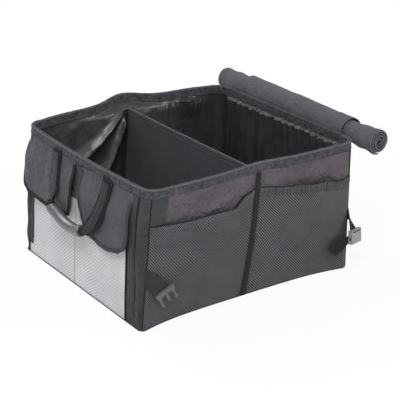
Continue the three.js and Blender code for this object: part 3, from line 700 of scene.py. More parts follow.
@dataclass(frozen=True)
class Wall:
    """One wall of the box, as the surface that all its layers follow."""

    side: Side
    axis: int
    out: int
    half: tuple[float, float]
    face: tuple[float, float]
    middle: float
    seam: tuple[float, float]

    TOP = 298.65
    ARC = 0.94
    RADII = (12.0, 34.0)

    def bow(self, w: Array, v: Array) -> Array:
        """How far the wall leaves its flat face, outwards.

        Args:
            w: places between the rounded corners, from -1 to 1.
            v: shares of the height.

        Returns:
            Distances in millimetres.
        """
        if self.side is Side.FRONT:
            return -12 * hump(w, 0.3) * v * v - 18 * (1 - w**4) * (1 - v) ** 2
        if self.side is Side.BACK:
            return (17 * (1 - w**4) + 28 * hump(w, 0.25)) * np.abs(v) ** 1.5
        if self.side is Side.LEFT:
            return 8 * (1 - w * w) * v
        return np.zeros_like(w * v)

    def point(self, u: float | Array, z: float | Array, depth: float | Array = 0.0) -> Array:
        """A point of the wall.

        Args:
            u: the place along the wall, from -1 at one corner seam to 1 at the other.
            z: the height.
            depth: how far in from the outer face.

        Returns:
            Points in millimetres, with a last axis of 3.
        """
        u, z, depth = np.broadcast_arrays(*(np.asarray(a, float) for a in (u, z, depth)))
        v = z / self.TOP
        half, radius = mix(*self.half, v), mix(*self.RADII, v)
        middle, face = mix(0.0, self.middle, v), mix(*self.face, v)
        w = np.clip(u / self.ARC, -1, 1)
        turn = np.maximum(0, (np.abs(u) - self.ARC) / (1 - self.ARC)) * (math.pi / 4)
        fold = (mix(*self.seam, v) - middle) * (1 - w * w)
        along = middle + w * (half - radius) + fold + np.sign(u) * (radius - depth) * np.sin(turn)
        bow = np.where(np.abs(u) > self.ARC, 0.0, self.bow(w, v))
        reach = face - radius + (radius - depth) * np.cos(turn) + bow
        rise = 8 * hump(w, 0.25) if self.side is Side.BACK else 0.0
        parts = [None, None, z + rise * v]
        parts[self.axis], parts[1 - self.axis] = along, self.out * reach
        return np.stack(parts, -1)

    def place(self, along: float | Array, z: float | Array) -> Array:
        """The u of a place along the wall at a height.

        Args:
            along: places along the wall, in millimetres.
            z: heights, in millimetres.

        Returns:
            Places from -1 to 1, found by halving.
        """
        along, z = np.broadcast_arrays(np.asarray(along, float), np.asarray(z, float))
        low, high = np.full(along.shape, -1.0), np.full(along.shape, 1.0)
        for _ in range(40):
            u = (low + high) / 2
            short = self.point(u, z)[..., self.axis] < along
            low, high = np.where(short, u, low), np.where(short, high, u)
        return (low + high) / 2

    def lines(self, low: float = -1.0, high: float = 1.0, step: float = 0.02) -> Array:
        """Places along the wall, closer together at the rounded corners.

        Args:
            low: the first place.
            high: the last place.
            step: between two places on the flat part.

        Returns:
            The places, in rising order.
        """
        flat = np.linspace(-self.ARC, self.ARC, int(2 * self.ARC / step))
        arc = np.linspace(self.ARC, 1, 8)
        every = np.concatenate([-arc[::-1], flat[1:-1], arc])
        inside = every[(every > low + 0.003) & (every < high - 0.003)]
        return np.concatenate([[low], inside, [high]])

    def sheet(self, name: str, u: Array, z: Array, depth: Callable[[Array, Array], Array] | float,
              thickness: float) -> tuple[bpy.types.Object, Array]:
        """A sheet of cloth that follows the wall.

        Args:
            name: the object's name.
            u: places along the wall, as a column.
            z: heights, as rows by columns or one row.
            depth: how far in from the outer face, as a number or a function of u and z.
            thickness: of the cloth.

        Returns:
            The mesh object, and the points of its outer face.
        """
        u, z = np.broadcast_arrays(u[:, None], z if z.ndim == 2 else z[None, :])
        at = depth(u, z) if callable(depth) else np.full(u.shape, depth)
        outer = self.point(u, z, at)
        return grid_body(name, outer, self.point(u, z, at + thickness)), outer


WALLS = {
    Side.FRONT: Wall(Side.FRONT, 0, -1, (269, 262), (244, 255), 9, (-6, 18)),
    Side.BACK: Wall(Side.BACK, 0, 1, (269, 262), (244, 243), 9, (-6, 18)),
    Side.LEFT: Wall(Side.LEFT, 1, -1, (244, 249), (269, 253), -6, (22, 4)),
    Side.RIGHT: Wall(Side.RIGHT, 1, 1, (244, 249), (269, 271), -6, (22, 4)),
}
BOX = "box"
# Half the length of a long wall and of an end, and where pockets and tapes stop before the corner seam.
LONG_HALF = 262.0
END_HALF = 246.0
SEAM_EDGE = 0.985


@dataclass(frozen=True)
class Layers:
    """Thicknesses and depths of the walls' layers and heights that several pieces share."""

    clear: float = 0.35
    shell: float = 1.4
    liner: float = 0.9
    liner_depth: float = 4.5
    wall_depth: float = 5.4
    floor_top: float = 6.0
    wall_low: float = 5.1
    tape_low: float = 281.3
    tape: float = 0.8
    net: float = 0.7
    stand_off: float = 1.5


LAYERS = Layers()


def ring(z: float, depth: float) -> Array:
    """The outline of the box at a height and a depth, anticlockwise from above.

    Args:
        z: the height.
        depth: how far in from the outer face.

    Returns:
        Points in millimetres.
    """
    runs = []
    for side, way in ((Side.FRONT, 1), (Side.RIGHT, 1), (Side.BACK, -1), (Side.LEFT, -1)):
        u = WALLS[side].lines()[::way]
        runs.append(WALLS[side].point(u, z, depth)[:-1])
    return np.concatenate(runs)


def plate(name: str, z: float, depth: float, thickness: float,
          folds: Folds | None = None) -> bpy.types.Object:
    """A level sheet inside the outline of the box.

    Args:
        name: the object's name.
        z: the height of its underside.
        depth: how far in from the outer face its edge lies.
        thickness: of the sheet.
        folds: the relief of its upper face.

    Returns:
        The mesh object.
    """
    edge = ring(z, depth)
    centre = np.array([0.0, 0.0, z])
    shares = np.concatenate([[0.004], np.linspace(0.1, 1, 24)])
    low = centre + (edge - centre)[:, None] * shares[None, :, None]
    high = low + np.array([0.0, 0.0, thickness])
    if folds:
        high[..., 2] += folds.at(high[..., 0], high[..., 1]) * (1 - shares**8)
    made = grid_body(name, high, low, loop=True)
    place = np.array([v.co[:2] for v in made.data.vertices])
    corner = np.zeros(len(made.data.loops), np.int32)
    made.data.loops.foreach_get("vertex_index", corner)
    made.data.uv_layers["cloth"].data.foreach_set("uv", place[corner].astype(np.float32).ravel())
    return made


@dataclass
class WallPanels:
    """The outer cloth of the walls and the underside, and the boards inside them."""

    band_low: float = 222.0
    pleat: float = 5.0

    groove = staticmethod(profile((0, 0.905), (60, 0.909), (150, 0.91), (220, 0.92), (285, 0.948)))

    def _front_depth(self, u: Array, z: Array) -> Array:
        """The front's bare band puckers between the rim and the pockets.

        Args:
            u: places along the wall.
            z: heights.

        Returns:
            Depths in millimetres.
        """
        soft = Folds(3, 1.5, 75, 0.8).at(u * LONG_HALF, z)
        fine = Folds(4, 0.6, 30).at(u * LONG_HALF, z)
        pull = 2.6 * hump(u + 0.33, 0.05) * ease((z - 205) / 40)
        pull = pull + 1.2 * hump(u - 0.36, 0.07) * ease((z - 215) / 40)
        sides = ease((u + 0.885) / 0.04), ease((SEAM_EDGE - u) / 0.03)
        relief = np.maximum(soft + fine + pull + 1.4, 0) * sides[0] * sides[1]
        return -relief * ease((z - self.band_low + 12) / 22) * ease((286 - z) / 10)

    def _left_depth(self, u: Array, z: Array) -> Array:
        """Upright pleats in the corner columns beside the end pocket.

        Args:
            u: places along the wall.
            z: heights.

        Returns:
            Depths in millimetres.
        """
        column = ease((np.abs(u) - 0.8) / 0.04) * ease((SEAM_EDGE - np.abs(u)) / 0.02)
        groove = 1 - np.exp(-(((np.abs(u) - self.groove(z)) / 0.014) ** 2))
        soft = Folds(7, 1.2, 45, 2.0).at(u * END_HALF, z)
        return -np.maximum(self.pleat + soft, 0) * groove * column * ease((z - 8) / 50) * ease((281 - z) / 25)

    def _plain_depth(self, seed: int) -> Callable[[Array, Array], Array]:
        """Loose folds over a wall that carries nothing.

        Args:
            seed: of the folds.

        Returns:
            A function from u and z to depths.
        """
        def depth(u: Array, z: Array) -> Array:
            """The folds' depth."""
            run = u * LONG_HALF
            soft = Folds(seed, 1.3, 120, 1.6).at(run, z) + Folds(seed + 1, 0.4, 35).at(run, z)
            upright = -np.maximum(soft + 0.8, 0) * ease(z / 30) * ease((284 - z) / 20)
            return upright * ease((1 - np.abs(u)) / 0.08)
        return depth

    def build(self) -> None:
        """Builds and dresses the panels."""
        z = np.concatenate([np.linspace(1.75, 215, 36), np.linspace(220, Wall.TOP, 24)])
        parts = {
            Side.FRONT: ("shell_front", Finish.SHELL, self._front_depth),
            Side.BACK: ("shell_back", Finish.SHELL, self._plain_depth(21)),
            Side.LEFT: ("shell_left_end", Finish.DARK_SHELL, self._left_depth),
            Side.RIGHT: ("shell_right_end", Finish.SHELL, self._plain_depth(31)),
        }
        for side, (name, finish, depth) in parts.items():
            wall = WALLS[side]
            made, outer = wall.sheet(f"{name}_cloth", wall.lines(step=0.012), z, depth, LAYERS.shell)
            dress(made, finish, "shell", BOX, name)
        under = plate("shell_bottom_cloth", 0.0, 0.0, 1.4)
        dress(under, Finish.DARK_SHELL, "underside", BOX, "shell_bottom")
        self._base_welt()
        for name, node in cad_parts.items():
            if name.startswith(("board_", "floor_board", "divider_board")):
                node.data.materials.clear()
                node.data.materials.append(Finish.BOARD.material())

    def _base_welt(self) -> None:
        """A thin welt in the seam round the underside, and black cords in the grooves of the end's corner
        pleats as painted shade.
        """
        line = ring(2.6, -0.9)
        cord("base_welt", line, 1.1, Finish.BINDING, closed=True)
        z = np.linspace(60, 281, 70)
        # Black cords down the pleats' grooves: painted shade in the valleys between the pleats.
        for side, way in (("near", -1), ("far", 1)):
            fold = WALLS[Side.LEFT].point(way * self.groove(z), z, -1.2)
            radius = 1.0 + 1.9 * ease((z - 60) / 130) * ease((284 - z) / 40)
            cord(f"corner_groove_shade_{side}", fold, radius, Finish.BLACK_BINDING, "shell", sides=6)


def cord(name: str, line: Array, radius: float | Array, finish: Finish, slot: str = "binding",
         body: str = BOX, closed: bool = False, sides: int = 8) -> bpy.types.Object:
    """A dressed round body along a line.

    Args:
        name: the object's name.
        line: its middle points.
        radius: its radius, or one for each point.
        finish: its finish.
        slot: the record's material slot.
        body: the body it rides on.
        closed: whether the line is a ring.
        sides: how many sides it has.

    Returns:
        The mesh object.
    """
    if closed:
        ahead, behind = np.roll(line, -1, 0), np.roll(line, 1, 0)
    else:
        ahead = np.concatenate([line[1:], 2 * line[-1:] - line[-2:-1]])
        behind = np.concatenate([2 * line[:1] - line[1:2], line[:-1]])
    run = unit(ahead - behind)
    up = np.array([0.0, 0.0, 1.0]) if np.abs(run[:, 2]).max() < 0.9 else np.array([1.0, 0.15, 0.0])
    across = unit(np.cross(run, up))
    rise = np.cross(across, run)
    angles = np.linspace(0, 2 * math.pi, sides + 1)[None, :, None]
    size = np.broadcast_to(np.asarray(radius, float), (len(line),))[:, None, None]
    round_about = across[:, None] * np.cos(angles) + rise[:, None] * np.sin(angles)
    mesh_points = (line[:, None] + round_about * size)[:, :-1]
    rows = len(line)
    faces, place = [], []
    step = np.concatenate([[0], np.cumsum(np.linalg.norm(np.diff(line, axis=0), axis=1))]) * 0.001
    for i in range(rows if closed else rows - 1):
        for j in range(sides):
            k, m = (i + 1) % rows, (j + 1) % sides
            faces.append((i * sides + j, k * sides + j, k * sides + m, i * sides + m))
            end = step[i + 1] if i + 1 < rows else step[-1] + 0.005
            low, high = j * 0.002, (j + 1) * 0.002
            place += [(step[i], low), (end, low), (end, high), (step[i], high)]
    if not closed:
        faces.append(tuple(range(sides)))
        faces.append(tuple(rows * sides - 1 - n for n in range(sides)))
        place += [(0.0, 0.0)] * (2 * sides)
    mesh = bpy.data.meshes.new(name)
    mesh.from_pydata((mesh_points.reshape(-1, 3) * 0.001).tolist(), [], faces)
    mesh.uv_layers.new(name="cloth").data.foreach_set("uv", np.array(place, np.float32).ravel())
    mesh.shade_smooth()
    mesh.set_sharp_from_angle(angle=math.radians(50))
    made = placed(name, mesh)
    face_outwards(made)
    return dress(made, finish, slot, body)


def face_outwards(made: bpy.types.Object) -> None:
    """Turns a closed mesh's faces to point out.

    Args:
        made: the mesh object.
    """
    mesh = made.data
    mesh.calc_loop_triangles()
    triangles = ([mesh.vertices[n].co for n in t.vertices] for t in mesh.loop_triangles)
    volume = sum(a.dot(b.cross(c)) for a, b, c in triangles)
    if volume < 0:
        mesh.flip_normals()


@dataclass
class Lining:
    """The glossy lining of the two compartments and their floor."""

    draw_in: float = 24.0
    draw_width: float = 0.3
    draw_low: float = 110.0
    draw_high: float = 272.0
    edge_low: float = 276.0
    edge_high: float = 280.0

    def back_depth(self, u: Array, z: Array) -> Array:
        """How far in the back lining lies: it is drawn in to the divider."""
        rise = ease((z - self.draw_low) / (self.draw_high - self.draw_low))
        release = 1 - ease((z - self.draw_high) / (LAYERS.tape_low - self.draw_high))
        return LAYERS.liner_depth + self.draw_in * hump(u, self.draw_width) * rise * release

    def _back_folds(self, u: Array, z: Array) -> Array:
        """The drawn-in depth with stretch folds that fan out from the divider's top, and loose creases.

        Args:
            u: places along the wall.
            z: heights.

        Returns:
            Depths in millimetres.
        """
        away, drop = (0.03 - u) * 255, 292 - z
        reach = np.hypot(away, drop)
        angle = np.arctan2(drop, np.maximum(away, 0.1))
        crest = 1 - np.abs(np.sin((angle - 0.67) * 6.6 + 0.12 * np.sin(reach / 28)))
        fan = crest**1.4 * ease(reach / 45) * ease((270 - reach) / 110) * ease((angle - 0.42) / 0.15)
        fan = fan * ease((0.03 - u) / 0.02)
        crease = np.abs(Folds(12, 1.0, 95, 1.4).at(u * LONG_HALF, z))
        tent = np.maximum(0, 1 - np.abs(u - 0.66 - (270 - z) * 0.0012) / 0.13)
        tent = tent * np.maximum(0, 1 - (276 - z) / 46)
        pucker = np.maximum(0, np.sin(u * 118 + 2 * np.sin(u * 21)))
        pucker = pucker * hump(z - 264, 15) * ease((u - 0.28) / 0.08)
        fine = Folds(13, 0.5, 30).at(u * LONG_HALF, z)
        loose = 15 * fan + 2.0 * crease + 0.5 * fine + 3.0 * pucker
        loose = loose * ease((278 - z) / 18) * ease(z / 50) + 22 * tent
        free = ease((0.93 - np.abs(u)) / 0.08) * ease((np.abs(u) - 0.035) / 0.03)
        return self.back_depth(u, z) + loose * free * ease((280.5 - z) / 5)

    def _right_folds(self, u: Array, z: Array) -> Array:
        """Upright gathers that hang from the elastic upper edge.

        Args:
            u: places along the wall.
            z: heights.

        Returns:
            Depths in millimetres.
        """
        rng = np.random.default_rng(5)
        place = u + 0.018 * np.sin(z / 60 + u * 4)
        total = np.zeros(np.broadcast(u, z).shape)
        for centre in np.linspace(-0.84, 0.84, 17) + rng.uniform(-0.03, 0.03, 17):
            width = rng.uniform(0.022, 0.042) * (1 + 0.9 * (1 - z / 290))
            low = rng.uniform(-40, 150)
            total += rng.uniform(0.45, 1.0) * hump(place - centre, width) * ease((z - low) / 120)
        small = 0.5 + 0.5 * np.sin(u * 190 + np.sin(u * 23) * 3)
        fade = 1 - ease((np.abs(u) - 0.88) / 0.06)
        gather = 12.0 * np.minimum(total, 1.1) + 1.6 * small * ease((z - 235) / 40)
        slack = np.abs(Folds(41, 1.2, 70, 2).at(u * END_HALF, z))
        return LAYERS.liner_depth + (gather + slack) * fade * ease(z / 40) * ease((282.5 - z) / 5)

    def _loose(self, seed: int) -> Callable[[Array, Array], Array]:
        """Soft creases of a flat lining.

        Args:
            seed: of the creases.

        Returns:
            A function from u and z to depths.
        """
        def depth(u: Array, z: Array) -> Array:
            """The creases' depth."""
            soft = np.abs(Folds(seed, 1.1, 80, 1.5).at(u * 250, z))
            soft = soft + 0.3 * Folds(seed + 1, 1, 26).at(u * 250, z)
            edge = ease((0.93 - np.abs(u)) / 0.08) * ease((278 - z) / 20) * ease((z - 6) / 30)
            return LAYERS.liner_depth + np.maximum(soft, 0) * edge
        return depth

    def build(self) -> None:
        """Builds and dresses the lining."""
        top = np.linspace(LAYERS.wall_low, Wall.TOP, 90)
        parts = {
            Side.FRONT: ("liner_front", self._loose(51), top, 0.02, "hung"),
            Side.BACK: ("liner_back", self._back_folds, top, 0.008, "hung"),
            Side.LEFT: ("liner_left_end", self._loose(61), top, 0.02, "hung"),
            Side.RIGHT: ("liner_right_end", self._right_folds, top[top < 292], 0.005, "gathered"),
        }
        for side, (name, depth, z, step, held) in parts.items():
            wall = WALLS[side]
            made, outer = wall.sheet(f"{name}_cloth", wall.lines(step=step), z, depth, LAYERS.liner)
            dress(made, Finish.LINER, "liner", BOX, name)
        floor = plate("liner_floor_cloth", LAYERS.wall_low, LAYERS.wall_depth + LAYERS.clear, LAYERS.liner,
                      Folds(9, 0.25, 60))
        dress(floor, Finish.LINER, "liner", BOX, "liner_floor")
        self._elastic_edge()

    def _elastic_edge(self) -> None:
        """The ruffled edge along the top of the gathers, with its pale thread."""
        wall = WALLS[Side.RIGHT]
        u = np.linspace(-0.9, 0.9, 420)
        ruffle = 1.3 * np.sin(u * 150 + 3 * np.sin(u * 17)) + 0.8 * np.sin(u * 311)
        levels = np.linspace(self.edge_low, self.edge_high, 5)[None, :]
        z = levels + 0.5 * ruffle[:, None] * np.linspace(0.2, 1, 5)[None, :]
        hang = self._right_folds(u[:, None], z) + LAYERS.liner + 0.5 + 0.5 * np.abs(ruffle)[:, None]
        outer, inner = wall.point(u[:, None], z, hang), wall.point(u[:, None], z, hang + 0.8)
        dress(grid_body("liner_elastic_edge", outer, inner), Finish.WELT, "binding", BOX)
        line = wall.point(u, self.edge_high - 0.4 + 0.9 * ruffle, hang[:, -1] + 1.3)
        cord("liner_edge_thread", line, 0.75, Finish.WELT, sides=5)


@dataclass
class Rim:
    """The ribbed tape folded over the whole rim, with its welt and its seam."""

    stitching: Stitching
    height: float = 17.0
    thickness: float = 1.0

    def _frames(self) -> list[tuple[Wall, Array]]:
        """The walls with their places, in order round the rim."""
        order = ((Side.FRONT, 1), (Side.RIGHT, 1), (Side.BACK, -1), (Side.LEFT, -1))
        return [(WALLS[side], WALLS[side].lines(step=0.008)[::way][:-1]) for side, way in order]

    def _strip(self, profile_line: Sequence[tuple[float, float]], wave: float) -> Array:
        """Points of a profile carried round the rim.

        Args:
            profile_line: drop below the wall's top and distance outwards from the wall's middle.
            wave: how much the free edges wander.

        Returns:
            Points, round the rim by along the profile.
        """
        runs = []
        start = 0.0
        for wall, u in self._frames():
            run = start + u * 255
            start += 509
            drop = np.array([a for a, _ in profile_line])[None, :]
            away = np.array([b for _, b in profile_line])[None, :]
            loose = (np.abs(drop) / self.height) ** 2
            wander = Folds(71, wave, 70).at(run, 0 * run)[:, None] * loose * np.sign(drop)
            pucker = Folds(72, 0.6, 17, 2.5).at(run[:, None] + 0 * drop, drop + 20 * np.sign(away))
            reach = away + (0.45 + pucker) * np.sign(away) * np.minimum(1, np.abs(away))
            middle = (LAYERS.wall_depth + LAYERS.clear) / 2
            runs.append(wall.point(u[:, None], Wall.TOP - drop - wander, middle - LAYERS.clear / 2 - reach))
        return np.concatenate(runs)

    def build(self) -> None:
        """Builds and dresses the binding."""
        inside = (LAYERS.wall_depth + LAYERS.clear) / 2 + LAYERS.clear
        outside = inside + self.thickness
        steps = (self.height, 13.0, 9.0, 5.0, 2.0, 0.4)
        crown = ((-0.9, 0.72), (-1.35, 0.35), (-1.4, 0.0), (-1.35, -0.35), (-0.9, -0.72))
        outer = [(a, outside) for a in steps] + [(a, b * outside) for a, b in crown]
        outer += [(a, -outside) for a in reversed(steps)]
        inner_crown = ((-0.3, 0.62), (-0.34, 0.3), (-0.35, 0.0), (-0.34, -0.3), (-0.3, -0.62))
        inner = [(a, inside) for a in steps] + [(a, b * inside) for a, b in inner_crown]
        inner += [(a, -inside) for a in reversed(steps)]
        tape = grid_body("rim_binding_tape", self._strip(outer, 1.1), self._strip(inner, 1.1), loop=True)
        dress(tape, Finish.BINDING, "binding", BOX, "rim_binding")
        welt = self._strip([(-0.2, outside * 0.9)], 0)[:, 0]
        cord("rim_welt", welt, 1.4, Finish.WELT, closed=True, sides=6)
        seams = [self._strip([(self.height - 3.5, outside + 0.35)], 1.1)[:, 0],
                 self._strip([(self.height - 3.5, -outside - 0.35)], 1.1)[:, 0]]
        closed = [np.concatenate([line, line[:1]]) for line in seams]
        self.stitching.sew("rim_stitches", closed, Finish.THREAD, BOX)


def folded_strip(middle: Array, into: Array, across: Array, half: float, leg: float,
                 thickness: float) -> tuple[Array, Array]:
    """A tape folded over the edge of a sheet.

    Args:
        middle: points of the sheet's edge.
        into: directions from the edge into the sheet.
        across: directions across the sheet's thickness.
        half: half of the room between the tape's legs.
        leg: how far the legs reach into the sheet.
        thickness: of the tape.

    Returns:
        Points of the outer and the inner face.
    """
    out = half + thickness
    outer = [(leg, out), (leg * 0.5, out * 1.03), (0.3, out), (-0.35 - thickness * 0.6, out * 0.7),
             (-0.35 - thickness, 0.0)]
    inner = [(leg, half), (leg * 0.5, half), (0.3, half), (-0.25, half * 0.6), (-0.35, 0.0)]
    faces = []
    for line in (outer, inner):
        whole = line + [(a, -b) for a, b in reversed(line[:-1])]
        a = np.array([p for p, _ in whole])[None, :, None]
        b = np.array([q for _, q in whole])[None, :, None]
        faces.append(middle[:, None] + into[:, None] * a + across[:, None] * b)
    return faces[0], faces[1]


def top_frames(wall: Wall, u: Array, top: Array, depth: Callable[[Array, Array], Array],
               leg: float) -> tuple[Array, Array, Array]:
    """The middle, inward and sideways directions along the upper edge of a wall's sheet.

    Args:
        wall: the wall.
        u: places along it.
        top: the edge's heights.
        depth: the depth of the sheet's middle, from u and z.
        leg: how far down the inward direction is taken.

    Returns:
        Points of the edge, directions into the sheet and directions across it.
    """
    edge = wall.point(u, top, depth(u, top))
    across = unit(wall.point(u, top, depth(u, top) - 1) - edge)
    below = wall.point(u, top - leg, depth(u, top - leg))
    return edge, unit(below - edge), across


@dataclass
class Pocket:
    """A slack net pocket on a wall, sewn along its sides and its lower edge."""

    wall: Wall
    span: tuple[float, float]
    top: Callable[[float | Array], Array]
    slack: float
    seed: int

    def depth(self, u: Array, z: Array) -> Array:
        """How far in the pocket's outer face lies, which is below 0.

        Args:
            u: places along the wall.
            z: heights.

        Returns:
            Depths in millimetres.
        """
        share = np.clip((u - self.span[0]) / (self.span[1] - self.span[0]), 0, 1)
        sideways = np.sin(math.pi * share) ** 1.3
        rise = np.minimum(1, z / self.top(u))
        slack = self.slack * sideways * ease(rise * 1.4)
        soft = Folds(self.seed, 0.24 * self.slack, 75, 1.6).at(u * LONG_HALF, z) * sideways * ease(rise * 3)
        return -(mix(LAYERS.clear, LAYERS.stand_off, rise) + slack + soft + LAYERS.net)

    def edge_depth(self, u: Array, z: Array) -> Array:
        """The depth of the net's middle."""
        return self.depth(u, z) + LAYERS.net / 2

    def net(self, name: str, finish: Finish, slot: str, node: str) -> None:
        """Builds and dresses the net.

        Args:
            name: the piece's name.
            finish: its finish.
            slot: the record's material slot.
            node: the solid it stands for.
        """
        u = self.wall.lines(*self.span, step=0.012)
        z = 3 + (self.top(u)[:, None] - 3) * np.linspace(0, 1, 60)[None, :]
        made, outer = self.wall.sheet(name, u, z, self.depth, LAYERS.net)
        dress(made, finish, slot, BOX, node)

    def hem(self, name: str, finish: Finish, leg: float, node: str, pucker: float) -> Array:
        """Builds and dresses the tape over the upper edge, and gives the line of its seam.

        Args:
            name: the piece's name.
            finish: its finish.
            leg: how far it reaches down, in millimetres.
            node: the solid it stands for.
            pucker: how strongly it puckers.

        Returns:
            Points of the seam.
        """
        u = self.wall.lines(*self.span, step=0.004)
        top = self.top(u) + 0.4 * np.sin(u * 95)
        middle, into, across = top_frames(self.wall, u, top, self.edge_depth, leg)
        outer, inner = folded_strip(middle, into, across, LAYERS.net / 2 + LAYERS.clear, leg, LAYERS.tape)
        run = u * LONG_HALF
        ruffle = pucker * (Folds(self.seed + 5, 0.7, 11).at(run, 0 * run) + 0.4)
        ruffle = ruffle * ease((1 - np.abs(u)) / 0.06)
        outer[:, :4] += across[:, None] * np.maximum(ruffle, -0.2)[:, None, None]
        dress(grid_body(name, outer, inner), finish, "binding", BOX, node)
        return outer[:, 0] + across * 0.3 - into * 3


@dataclass
class FrontPockets:
    """The two dark net pockets of the front, the tape between them and the ribbed corner tape."""

    stitching: Stitching
    slack: float = 14.0
    hem: float = 15.0
    centre_half: float = 0.026
    gap: float = 0.004
    left_top: Callable[[float | Array], Array] = profile(
        (-SEAM_EDGE, 223), (-0.45, 223), (-0.24, 219), (-0.12, 238), (0, 245)
    )
    right_top: Callable[[float | Array], Array] = profile(
        (0, 245), (0.35, 237), (0.6, 231), (0.9, 217), (SEAM_EDGE, 221)
    )
    pockets: list[Pocket] = field(default_factory=list)

    def build(self) -> None:
        """Builds and dresses the pockets and tapes."""
        wall = WALLS[Side.FRONT]
        parts = (("left", (-SEAM_EDGE, -self.gap), self.left_top, 81, Finish.DARK_NET, 0.3),
                 ("right", (self.gap, SEAM_EDGE), self.right_top, 91, Finish.HEM, 2.3))
        seams = []
        for side, span, top, seed, finish, pucker in parts:
            pocket = Pocket(wall, span, top, self.slack, seed)
            self.pockets.append(pocket)
            pocket.net(f"front_net_{side}", Finish.DARK_NET, "dark_mesh", f"front_mesh_{side}")
            seams.append(pocket.hem(f"front_hem_{side}", finish, self.hem, f"front_mesh_tape_{side}", pucker))
            u = np.linspace(*span, 160)
            edge = wall.point(u, top(u) + 1.1, pocket.edge_depth(u, top(u)))
            cord(f"front_edge_cord_{side}", edge, 1.5, Finish.BLACK_BINDING, "black_binding", sides=6)
        self.stitching.sew("front_hem_stitches", seams, Finish.THREAD, BOX, width=0.8)
        self._centre(wall)
        self._corner(wall)

    def _cover(self, u: Array, z: Array) -> Array:
        """How far the nets stand out under the centre tape."""
        left, right = self.pockets
        return np.maximum(-left.depth(np.minimum(u, -self.gap), z), -right.depth(np.maximum(u, self.gap), z))

    def _centre(self, wall: Wall) -> None:
        """The black tape down the middle, with the pale folded edge on its right.

        Args:
            wall: the front wall.
        """
        u = np.linspace(-self.centre_half, self.centre_half * 0.62, 7)
        z = np.concatenate([np.linspace(3, 240, 60), np.linspace(244, 280, 14)])

        def depth(at: Array, height: Array) -> Array:
            """The tape's outer face: crowned, and a little wavy."""
            crown = 0.9 * (1 - (at / self.centre_half) ** 2)
            return -(self._cover(at, height) + LAYERS.tape + 1.9 + crown + 0.25 * np.sin(height / 9))

        made, _ = wall.sheet("front_centre_cloth", u, z, depth, 1.2)
        dress(made, Finish.BLACK_BINDING, "black_binding", BOX, "front_centre_tape")
        heights = np.linspace(4, 270, 80)
        edge = np.full_like(heights, self.centre_half * 0.9) + 0.0012 * np.sin(heights / 14)
        line = wall.point(edge, heights, -(self._cover(edge, heights) + 2.6))
        cord("front_centre_welt", line, 1.7, Finish.HEM)
        beads = wall.point(edge + 0.006, heights, -(self._cover(edge, heights) + 2.9))
        self.stitching.sew("front_centre_stitches", [beads], Finish.THREAD, BOX, spacing=5, width=1.0)

    def _corner(self, wall: Wall) -> None:
        """The ribbed tape above the left pocket, beside the corner, and black cords down the corner seams: a
        seam line drawn black, partly as painted shade of the slit along it.

        Args:
            wall: the front wall.
        """
        u = wall.lines(-SEAM_EDGE, -0.89, step=0.006)
        z = np.linspace(226, 280.9, 24)
        ribs = -1.75 - 0.3 * np.sin(u * 260)
        made, _ = wall.sheet("front_corner_cloth", u, z, lambda a, b: ribs[:, None] + 0 * b, LAYERS.tape)
        dress(made, Finish.CORNER_TAPE, "binding", BOX, "front_corner_tape")
        # Black cords at the corner seams: the seam line, darkened as painted shade of the slit there.
        heights = np.linspace(3, 281, 90)
        for name, u_seam in (("left", -0.992), ("right", 0.992)):
            line = wall.point(u_seam + 0.0012 * np.sin(heights / 21), heights, -1.0)
            cord(f"corner_seam_shade_{name}", line, 1.6, Finish.BLACK_BINDING, "black_binding", sides=6)


